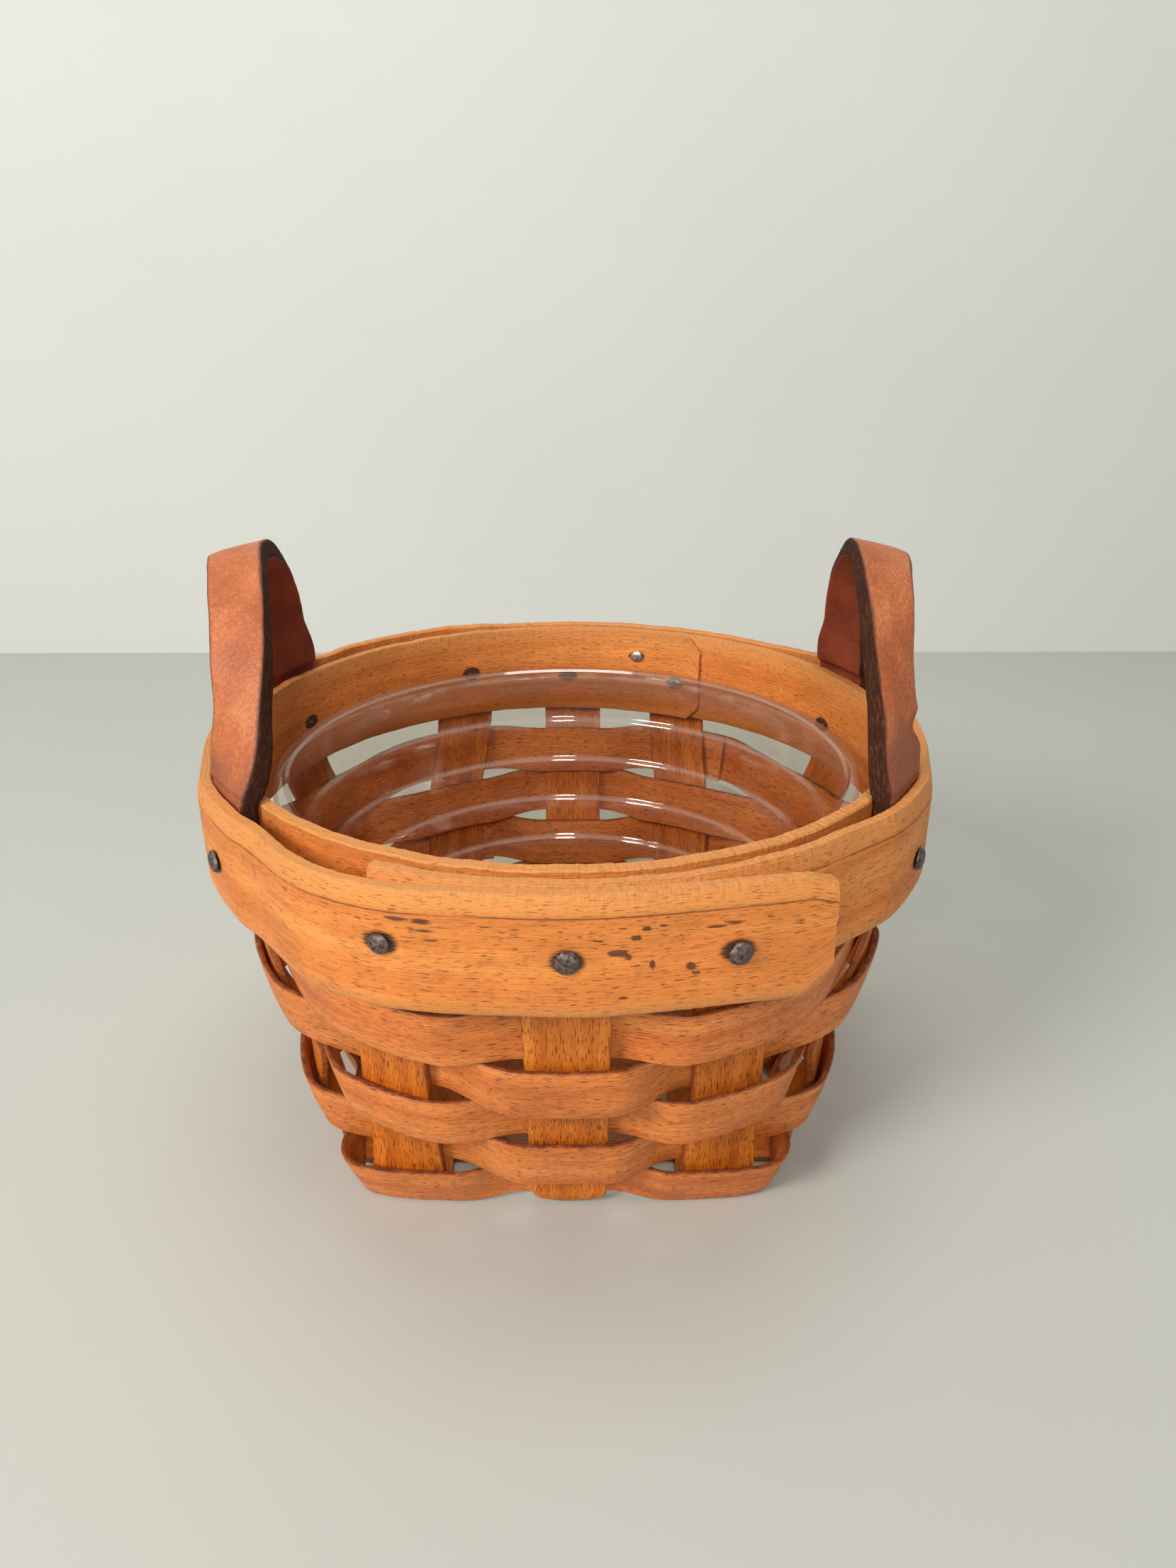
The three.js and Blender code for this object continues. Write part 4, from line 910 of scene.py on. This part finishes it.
def rivedWood(name, look):
    material, tree = newMaterial(name)
    strip = addNode(tree, "UVMap", {"uv_map": "strip"})
    place = addNode(tree, "TexCoord").outputs["Object"]
    marks = marksOf(tree, "edge", "stain", "crack", "spot", "bevel")
    patterns = {}
    runs = (("band", 3.0, 0.3), ("fibre", 3.0, 0.15), ("silk", 2.0, 0.4), ("fleck", 1.5, 0.0))
    for key, detail, distortion in runs:
        scale = (perMetre(look[key + "Long"]), perMetre(look[key + "Wide"]), 1)
        mapping = addNode(tree, "Mapping", {"Scale": scale}, {"Vector": strip})
        settings = {"Scale": 1.0, "Detail": detail, "Roughness": 0.55, "Distortion": distortion}
        patterns[key] = addNode(tree, "TexNoise", settings, {"Vector": mapping})
    for key, detail, roughness in (("mottle", 4.0, 0.6), ("dirt", 5.0, 0.7)):
        settings = {"Scale": perMetre(look[key]), "Detail": detail, "Roughness": roughness}
        patterns[key] = addNode(tree, "TexNoise", settings, {"Vector": place})
    shade = addNode(tree, "ValToRGB", None, {"Fac": patterns["band"]})
    rampStops(shade, [(0.3, look["low"]), (0.5, look["middle"]), (0.7, look["high"])])
    multiply = {"data_type": "RGBA", "blend_type": "MULTIPLY", 0: 1.0}
    depth = look["fibre"]
    for key, low, high in (("fibre", 1 - depth, 1 + depth), ("silk", 0.93, 1.07), ("mottle", 0.84, 1.13)):
        spread = {"From Min": 0.28, "From Max": 0.72, "To Min": low, "To Max": high}
        lines = addNode(tree, "MapRange", spread, {"Value": patterns[key]})
        shade = addNode(tree, "Mix", multiply, {colourA: shade, colourB: lines}).outputs[colourOut]
    # shares of the colours that lie over the grain, one after another
    planed = addNode(tree, "Math", {"operation": "MULTIPLY", 1: 0.6}, {0: marks["bevel"]})
    fleckTo = look["fleckFrom"] + look["fleckFade"]
    spread = {"From Min": look["fleckFrom"], "From Max": fleckTo, "To Max": 0.82}
    dashes = addNode(tree, "MapRange", spread, {"Value": patterns["fleck"]})
    # the edge colour over each strip's edges, broken up by a noise: real wear, and on the weavers also
    # painted shade in the crevices between the rows
    spread = {"From Min": 0.3, "From Max": 0.6, "To Min": 0.45, "To Max": 1.0}
    edgeBreakup = addNode(tree, "MapRange", spread, {"Value": patterns["dirt"]})
    edgeWearAndShade = addNode(tree, "Math", {"operation": "MULTIPLY"}, {0: marks["edge"], 1: edgeBreakup})
    layers = [("bevel", planed), ("fleck", dashes), ("edge", edgeWearAndShade)]
    torn = addNode(tree, "Math", {"operation": "MULTIPLY_ADD", 1: 1.6, 2: 0.2}, {0: patterns["fibre"]})
    for key, low, high, most in (("stain", 0.5, 0.9, 0.92), ("spot", 0.38, 0.6, 0.85)):
        soaked = addNode(tree, "Math", {"operation": "MULTIPLY"}, {0: marks[key], 1: torn})
        spread = {"From Min": low, "From Max": high, "To Max": most}
        layers.append((key, addNode(tree, "MapRange", spread, {"Value": soaked})))
    layers.append(("crack", marks["crack"]))
    for key, share in layers:
        settings = {"data_type": "RGBA", colourB: linear(look[key])}
        shade = addNode(tree, "Mix", settings, {0: share, colourA: shade}).outputs[colourOut]
    middle, reach = look["roughness"], look["glossRange"]
    spread = {"To Min": middle - reach, "To Max": middle + reach}
    gloss = addNode(tree, "MapRange", spread, {"Value": patterns["dirt"]})
    settings = {"operation": "MULTIPLY_ADD", 1: 0.8}
    relief = addNode(tree, "Math", settings, {0: patterns["silk"], 2: patterns["fibre"]})
    pored = addNode(tree, "Math", {"operation": "SUBTRACT"}, {0: relief, 1: dashes})
    scale = (perMetre(look["sawLong"]), perMetre(look["sawWide"]), 1)
    sawn = addNode(tree, "Mapping", {"Scale": scale}, {"Vector": strip})
    teeth = addNode(tree, "TexNoise", {"Scale": 1.0, "Detail": 2.0}, {"Vector": sawn})
    bitten = addNode(tree, "Math", {"operation": "MULTIPLY"}, {0: teeth, 1: marks["edge"]})
    dented = addNode(tree, "Math", {"operation": "MULTIPLY_ADD", 1: look["sawDeep"]}, {0: bitten, 2: pored})
    bump = addNode(tree, "Bump", {"Strength": 0.7, "Distance": look["bump"]}, {"Height": dented})
    shader = addNode(tree, "BsdfPrincipled", {"IOR": 1.5, "Specular IOR Level": 0.4}, {
        "Base Color": shade, "Roughness": gloss, "Normal": bump,
    })
    addNode(tree, "OutputMaterial", None, {"Surface": shader})
    return material


# Vegetable-tanned leather: pebbled face, purple-black dyed border, fibrous cut edge, dark flesh side.
# A real pebble is about 0.3 mm and a cut fibre far finer. Both are drawn coarser so that they show.
leatherLook = {
    "faceLow": "ad582c", "face": "c26b3b", "faceHigh": "cf7e4a", "flesh": "8c4029", "border": "46191d",
    "edge": "381e14", "edgeFibre": "8a5430", "pebble": 0.72, "blotch": 12.0, "grain": 0.9,
    "fibreLong": 2.2, "fibreWide": 0.35, "borderFrom": 0.0079, "borderTo": 0.0087, "borderMost": 0.85,
    "borderWander": 0.0022, "bump": 0.00012, "roughness": 0.5, "cutRoughness": 0.35,
}


def tannedLeather(name, look):
    material, tree = newMaterial(name)
    place = addNode(tree, "TexCoord").outputs["Object"]
    strip = addNode(tree, "UVMap", {"uv_map": "strip"})
    marks = marksOf(tree, "edge", "side", "across", "foot")
    settings = {"Scale": perMetre(look["pebble"]), "Randomness": 1.0}
    pebble = addNode(tree, "TexVoronoi", settings, {"Vector": place})
    settings = {"Scale": perMetre(look["blotch"]), "Detail": 4.0, "Roughness": 0.55}
    blotch = addNode(tree, "TexNoise", settings, {"Vector": place})
    settings = {"Scale": perMetre(look["grain"]), "Detail": 3.0, "Roughness": 0.6}
    grain = addNode(tree, "TexNoise", settings, {"Vector": place})
    scale = (perMetre(look["fibreLong"]), perMetre(look["fibreWide"]), 1)
    along = addNode(tree, "Mapping", {"Scale": scale}, {"Vector": strip})
    settings = {"Scale": 1.0, "Detail": 4.0, "Roughness": 0.7, "Distortion": 0.6}
    fibre = addNode(tree, "TexNoise", settings, {"Vector": along})
    shade = addNode(tree, "ValToRGB", None, {"Fac": blotch})
    rampStops(shade, [(0.3, look["faceLow"]), (0.5, look["face"]), (0.7, look["faceHigh"])])
    multiply = {"data_type": "RGBA", "blend_type": "MULTIPLY", 0: 1.0}
    for source, start, end, low, high in ((pebble, 0.0, 0.6, 1.08, 0.8), (grain, 0.3, 0.7, 0.86, 1.14)):
        spread = {"From Min": start, "From Max": end, "To Min": low, "To Max": high}
        lines = addNode(tree, "MapRange", spread, {"Value": source})
        shade = addNode(tree, "Mix", multiply, {colourA: shade, colourB: lines}).outputs[colourOut]
    # the dyed border, with a wandering inner line, and the darker foot
    aside = addNode(tree, "Math", {"operation": "ABSOLUTE"}, {0: marks["across"]})
    settings = {"operation": "MULTIPLY_ADD", 1: look["borderWander"]}
    wander = addNode(tree, "Math", settings, {0: blotch, 2: aside})
    spread = {"From Min": look["borderFrom"], "From Max": look["borderTo"], "To Max": look["borderMost"]}
    dyed = addNode(tree, "MapRange", spread, {"Value": wander})
    low = addNode(tree, "Math", {"operation": "MULTIPLY"}, {0: marks["foot"], 1: blotch})
    both = addNode(tree, "Math", {"operation": "MAXIMUM"}, {0: dyed, 1: low})
    settings = {"data_type": "RGBA", colourB: linear(look["border"])}
    shade = addNode(tree, "Mix", settings, {0: both, colourA: shade}).outputs[colourOut]
    # the flesh side and the cut edge
    spread = {"From Min": 0.3, "From Max": 0.7, "To Min": 0.6, "To Max": 1.35}
    suede = addNode(tree, "MapRange", spread, {"Value": blotch})
    settings = {**multiply, colourA: linear(look["flesh"])}
    fleshed = addNode(tree, "Mix", settings, {colourB: suede}).outputs[colourOut]
    frayed = addNode(tree, "MapRange", {"From Min": 0.5, "From Max": 0.75, "To Max": 0.7}, {"Value": fibre})
    settings = {"data_type": "RGBA", colourA: linear(look["edge"]), colourB: linear(look["edgeFibre"])}
    fibres = addNode(tree, "Mix", settings, {0: frayed}).outputs[colourOut]
    cut = addNode(tree, "MapRange", {"From Min": 0.3, "From Max": 0.6}, {"Value": marks["edge"]})
    for share, under in ((marks["side"], fleshed), (cut, fibres)):
        links = {0: share, colourA: shade, colourB: under}
        shade = addNode(tree, "Mix", {"data_type": "RGBA"}, links).outputs[colourOut]
    spread = {"To Min": look["roughness"] - 0.1, "To Max": look["roughness"] + 0.15}
    gloss = addNode(tree, "MapRange", spread, {"Value": grain})
    pebbled = addNode(tree, "Math", {"operation": "MULTIPLY_ADD", 1: 0.7}, {0: grain, 2: pebble})
    frays = addNode(tree, "Math", {"operation": "MULTIPLY"}, {0: fibre, 1: cut})
    relief = addNode(tree, "Math", {"operation": "MULTIPLY_ADD", 1: 2.5}, {0: frays, 2: pebbled})
    bump = addNode(tree, "Bump", {"Strength": 0.8, "Distance": look["bump"]}, {"Height": relief})
    settings = {"operation": "MULTIPLY_ADD", 1: look["cutRoughness"]}
    dulled = addNode(tree, "Math", settings, {0: cut, 2: gloss})
    dry = addNode(tree, "MapRange", {"To Min": 0.45, "To Max": 0.12}, {"Value": cut})
    shader = addNode(tree, "BsdfPrincipled", {"IOR": 1.5}, {
        "Base Color": shade, "Roughness": dulled, "Specular IOR Level": dry, "Normal": bump,
    })
    addNode(tree, "OutputMaterial", None, {"Surface": shader})
    return material


def forgedMetal(name, dark, light, roughness, grain):  # dull dark scale, rubbed bright in specks
    material, tree = newMaterial(name)
    place = addNode(tree, "TexCoord").outputs["Object"]
    settings = {"Scale": perMetre(grain), "Detail": 5.0, "Roughness": 0.65}
    scale = addNode(tree, "TexNoise", settings, {"Vector": place})
    colour = rampStops(addNode(tree, "ValToRGB", None, {"Fac": scale}), [(0.35, dark), (0.68, light)])
    spread = {"To Min": roughness - 0.12, "To Max": roughness + 0.15}
    gloss = addNode(tree, "MapRange", spread, {"Value": scale})
    bump = addNode(tree, "Bump", {"Strength": 0.7, "Distance": 0.00018}, {"Height": scale})
    links = {"Base Color": colour, "Roughness": gloss, "Normal": bump}
    shader = addNode(tree, "BsdfPrincipled", {"Metallic": 0.85}, links)
    addNode(tree, "OutputMaterial", None, {"Surface": shader})
    return material


# Clear moulded polystyrene: seen through, bright where it turns away, faintly pink along its lip and ridges
clearLook = {
    "through": "f2efe9", "shine": "fff6f0", "haze": "e0c0b4", "roughness": 0.07, "smear": 9.0, "bump": 0.0003,
    "hazeLeast": 0.003, "hazeRidge": 0.075, "shineLeast": 0.004, "shineMost": 0.06, "shineRidge": 0.15,
}


def clearPlastic(name, look):
    material, tree = newMaterial(name)
    ridge = marksOf(tree, "ridge")["ridge"]
    edgeOn = addNode(tree, "Fresnel", {"IOR": 1.5})
    place = addNode(tree, "TexCoord").outputs["Object"]
    settings = {"Scale": perMetre(look["smear"]), "Detail": 3.0, "Roughness": 0.6}
    smear = addNode(tree, "TexNoise", settings, {"Vector": place})
    bump = addNode(tree, "Bump", {"Strength": 0.2, "Distance": look["bump"]}, {"Height": smear})
    through = addNode(tree, "BsdfTransparent", {"Color": linear(look["through"])})
    settings = {"Color": linear(look["shine"]), "Roughness": look["roughness"]}
    shine = addNode(tree, "BsdfGlossy", settings, {"Normal": bump})
    haze = addNode(tree, "BsdfDiffuse", {"Color": linear(look["haze"])})
    settings = {"operation": "MULTIPLY_ADD", 1: look["hazeRidge"], 2: look["hazeLeast"]}
    hazeShare = addNode(tree, "Math", settings, {0: ridge})
    clearPart = addNode(tree, "MixShader", None, {0: hazeShare, 1: through, 2: haze})
    spread = {"From Min": 0.04, "From Max": 0.6, "To Min": look["shineLeast"], "To Max": look["shineMost"]}
    turnedAway = addNode(tree, "MapRange", spread, {"Value": edgeOn})
    settings = {"operation": "MULTIPLY_ADD", 1: look["shineRidge"]}
    shineShare = addNode(tree, "Math", settings, {0: ridge, 2: turnedAway})
    glossed = addNode(tree, "MixShader", None, {0: shineShare, 1: clearPart, 2: shine})
    addNode(tree, "OutputMaterial", None, {"Surface": glossed})
    return material


def mattPaint(name, colour):  # plain painted board, its shade very slightly uneven
    material, tree = newMaterial(name)
    place = addNode(tree, "TexCoord").outputs["Object"]
    cloud = addNode(tree, "TexNoise", {"Scale": 9.0, "Detail": 3.0}, {"Vector": place})
    shade = addNode(tree, "MapRange", {"To Min": 0.97, "To Max": 1.03}, {"Value": cloud})
    settings = {"data_type": "RGBA", "blend_type": "MULTIPLY", 0: 1.0, colourA: linear(colour)}
    tint = addNode(tree, "Mix", settings, {colourB: shade}).outputs[colourOut]
    shader = addNode(tree, "BsdfPrincipled", {"Roughness": 0.7}, {"Base Color": tint})
    addNode(tree, "OutputMaterial", None, {"Surface": shader})
    return material


uprightWood = rivedWood("rivedMapleSplint", splintMaple)
weaverWood = rivedWood("rivedMapleWeaver", weaverMaple)
hoopWood = rivedWood("shavedMapleHoop", hoopMaple)
leather = tannedLeather("vegetableTannedLeather", leatherLook)
blackIron = forgedMetal("blackenedIron", "3a302f", "8c7a74", 0.45, 0.7)
brightSteel = forgedMetal("brightSteel", "8f8880", "e2ddd6", 0.28, 1.6)
clear = clearPlastic("clearPolystyrene", clearLook)


def finished(piece, material):
    piece.data.materials.clear()
    piece.data.materials.append(material)
    for polygon in piece.data.polygons:
        polygon.material_index = 0


def dressed(piece, material, body, slotName, *nodes):
    finished(piece, material)
    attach(piece, body)
    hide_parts(*nodes)


random.seed(11)
# each splint: its name, the uprights at its two ends, and where it lies over its crossings
overOnce, overTwice = (False, True, False), (True, False, True)
frontBackPlan = (("left", 9, 5, overTwice), ("middle", 10, 4, overOnce), ("right", 11, 3, overTwice))
leftRightPlan = (("front", 8, 0, overOnce), ("middle", 7, 1, overTwice), ("back", 6, 2, overOnce))
for across, start, end, overs in frontBackPlan:
    piece = wallSplint("wovenSplintFrontBack." + across, start, end, splints["leftRight"], overs)
    dressed(piece, uprightWood, "basket", "wall_splints", "splint_front_back_" + across)
for across, start, end, overs in leftRightPlan:
    piece = wallSplint("wovenSplintLeftRight." + across, start, end, splints["frontBack"], overs)
    dressed(piece, uprightWood, "basket", "wall_splints", "splint_left_right_" + across)
print("wall splints done")
for row, lapUpright in zip(rows, weavers["lapUprights"]):
    piece = weaverRow(f"weaver.row{row['number']}", row, lapUpright)
    dressed(piece, weaverWood, "basket", "weavers", f"weaver_row_{row['number']}")
print("weavers done")

# The iron has stained the wood round each tack
places = tacks["placed"].values()
stains = [(angle, z) + tacks["stain"] for angle, z in places]
tipStains = [(angle + random.uniform(-0.6, 0.6), z) + tacks["tipStain"] for angle, z in places]
tipStains.append(tacks["nail"] + tacks["nailStain"])
outerEnds = rim["outerLapStart"], rim["outerLapEnd"] + 360
innerEnds = rim["innerLapStart"], rim["innerLapEnd"] + 360
outer = hoopBand("outerHoopShaved", outerHoop, *outerEnds, outerSection, stains)
dressed(outer, hoopWood, "basket", "rim_hoops", "outer_hoop")
inner = hoopBand("innerHoopShaved", innerHoop, *innerEnds, innerSection, tipStains)
dressed(inner, hoopWood, "basket", "rim_hoops", "inner_hoop")
print("hoops done")

for side, x in (("left", -0.0627), ("right", 0.0627)):
    strap = earStrap(f"leatherEar.{side}", side)
    finished(strap, leather)
    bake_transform(strap)
    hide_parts(f"ear_{side}_loop", f"ear_{side}_front_tab", f"ear_{side}_back_tab")
print("ears done")

beside = tacks["head"] * 1.4  # a head rests on the highest wood under it
for name, (angle, z) in tacks["placed"].items():
    face = max(rimFace(angle + turn) for turn in (-beside, 0, beside)) + tacks["seat"]
    length = face - innerFace(angle) + tacks["tip"]
    head = tacks["small"].get(name, tacks["head"])
    piece = drivenTack(name + ".forged", angle, z, face, length, head, 1.0)
    dressed(piece, blackIron, "basket", "iron_tacks", name)
nailAngle, nailZ = tacks["nail"]
nailFace = innerFace(nailAngle) - tacks["seat"]
nailLength = outerHoopFace(nailAngle) + rim["hoopThickness"] - nailFace - tacks["seat"]
nailPlace = nailAngle, nailZ, nailFace, nailLength
nail = drivenTack("nail_inside_back.bright", *nailPlace, tacks["nailHead"], 0.3, False)
dressed(nail, brightSteel, "basket", "bright_nail", "nail_inside_back")
print("tacks done")

cup = turnedPiece("linerCup", linerProfile(), liner["sides"])
ridge = cup.data.attributes.new("ridge", "FLOAT", "POINT")
foot, lipBottom, rise = linerLevels()
steps = range(1, liner["steps"] + 1)
ledges = [foot + rise * (i + liner["stepShift"]) - liner["stepTall"] / 2 for i in steps]
for vertex in cup.data.vertices:
    r, z = math.hypot(vertex.co.x, vertex.co.y) * 1000, vertex.co.z * 1000
    onWall = r > liner["floorRadius"] + 0.5
    onLedge = max(1 - smooth(abs(z - ledge) / 1.2) for ledge in ledges) if onWall else 0
    ridge.data[vertex.index].value = max(onLedge * 0.7, smooth((z - lipBottom + 0.4) / 0.5))
dressed(cup, clear, "liner", "clear_liner", "liner")
print("liner done")

# Floor, backdrop, lights and the camera at the photograph's angle, in metres
stageLook = {"floor": "bdbeb6", "wall": "d7d8d2", "size": 3.0, "behind": 0.33, "wallTall": 0.8}
bpy.ops.object.select_all(action="DESELECT")
middle = stageLook["behind"] - stageLook["size"] / 2
bpy.ops.mesh.primitive_plane_add(size=stageLook["size"], location=(0, middle, 0))
floor = bpy.context.object
floor.name = "paleFloor"
bpy.ops.object.transform_apply(location=True)
bpy.ops.object.mode_set(mode="EDIT")
bpy.ops.mesh.select_all(action="DESELECT")
bpy.ops.object.mode_set(mode="OBJECT")
for edge in floor.data.edges:
    edge.select = all(floor.data.vertices[v].co.y > stageLook["behind"] - 0.01 for v in edge.vertices)
bpy.ops.object.mode_set(mode="EDIT")
bpy.ops.mesh.select_mode(type="EDGE")
bpy.ops.mesh.extrude_region_move(TRANSFORM_OT_translate={"value": (0, 0, stageLook["wallTall"])})
bpy.ops.object.mode_set(mode="OBJECT")
floor.data.materials.append(mattPaint("mattPaintedBoard", stageLook["floor"]))
floor.data.materials.append(mattPaint("mattPaintedWall", stageLook["wall"]))
for polygon in floor.data.polygons:
    polygon.material_index = 1 if abs(polygon.normal.y) > 0.5 else 0

world = bpy.data.worlds.new("paleRoom")
bpy.context.scene.world = world
world.use_nodes = True
room = world.node_tree
room.nodes.clear()
ray = addNode(room, "LightPath").outputs
seen = addNode(room, "Background", {"Color": linear("d7d8d2"), "Strength": 1.0})
lit = addNode(room, "Background", {"Color": linear("f3f5fa"), "Strength": 0.19})
larger = {"operation": "MAXIMUM"}
mirrored = addNode(room, "Math", larger, {0: ray["Is Glossy Ray"], 1: ray["Is Transmission Ray"]})
shown = addNode(room, "Math", larger, {0: ray["Is Camera Ray"], 1: mirrored})
choice = addNode(room, "MixShader", None, {0: shown, 1: lit, 2: seen})
addNode(room, "OutputWorld", None, {"Surface": choice})

aim = (0, 0, 0.05)
lamps = {  # place, size, watts, colour
    "keySoftBox": ((-0.62, -0.62, 0.62), (0.3, 0.3), 7.6, "fffdfa"),
    "windowSoftBox": ((0.04, -0.85, 0.68), (0.16, 0.3), 4.4, "fffdfa"),
    "topSoftBox": ((0.0, 0.0, 0.95), (0.4, 0.4), 2.0, "ffffff"),
}
for name, (place, size, watts, colour) in lamps.items():
    lamp = bpy.data.lights.new(name, "AREA")
    lamp.shape = "RECTANGLE"
    lamp.size, lamp.size_y = size
    lamp.energy = watts
    lamp.color = linear(colour)[:3]
    holder = bpy.data.objects.new(name, lamp)
    holder.location = place
    holder.rotation_euler = (Vector(aim) - Vector(place)).to_track_quat("-Z", "Y").to_euler()
    bpy.context.scene.collection.objects.link(holder)

view = {
    "place": (0.0034, -0.2248, 0.1715), "down": 23.8, "aside": 0.26,
    "focal": 1600, "tall": 2212, "sensor": 36.0,
}
camera = bpy.data.cameras.new("photographCamera")
camera.sensor_width = view["sensor"]
camera.sensor_fit = "AUTO"
camera.lens = view["sensor"] * view["focal"] / view["tall"]
camera.clip_start = 0.01
holder = bpy.data.objects.new("photographCamera", camera)
holder.location = view["place"]
holder.rotation_euler = (math.radians(90 - view["down"]), 0, math.radians(-view["aside"]))
bpy.context.scene.collection.objects.link(holder)
bpy.context.scene.camera = holder
bpy.context.scene.view_settings.view_transform = "Standard"
print("stage done")
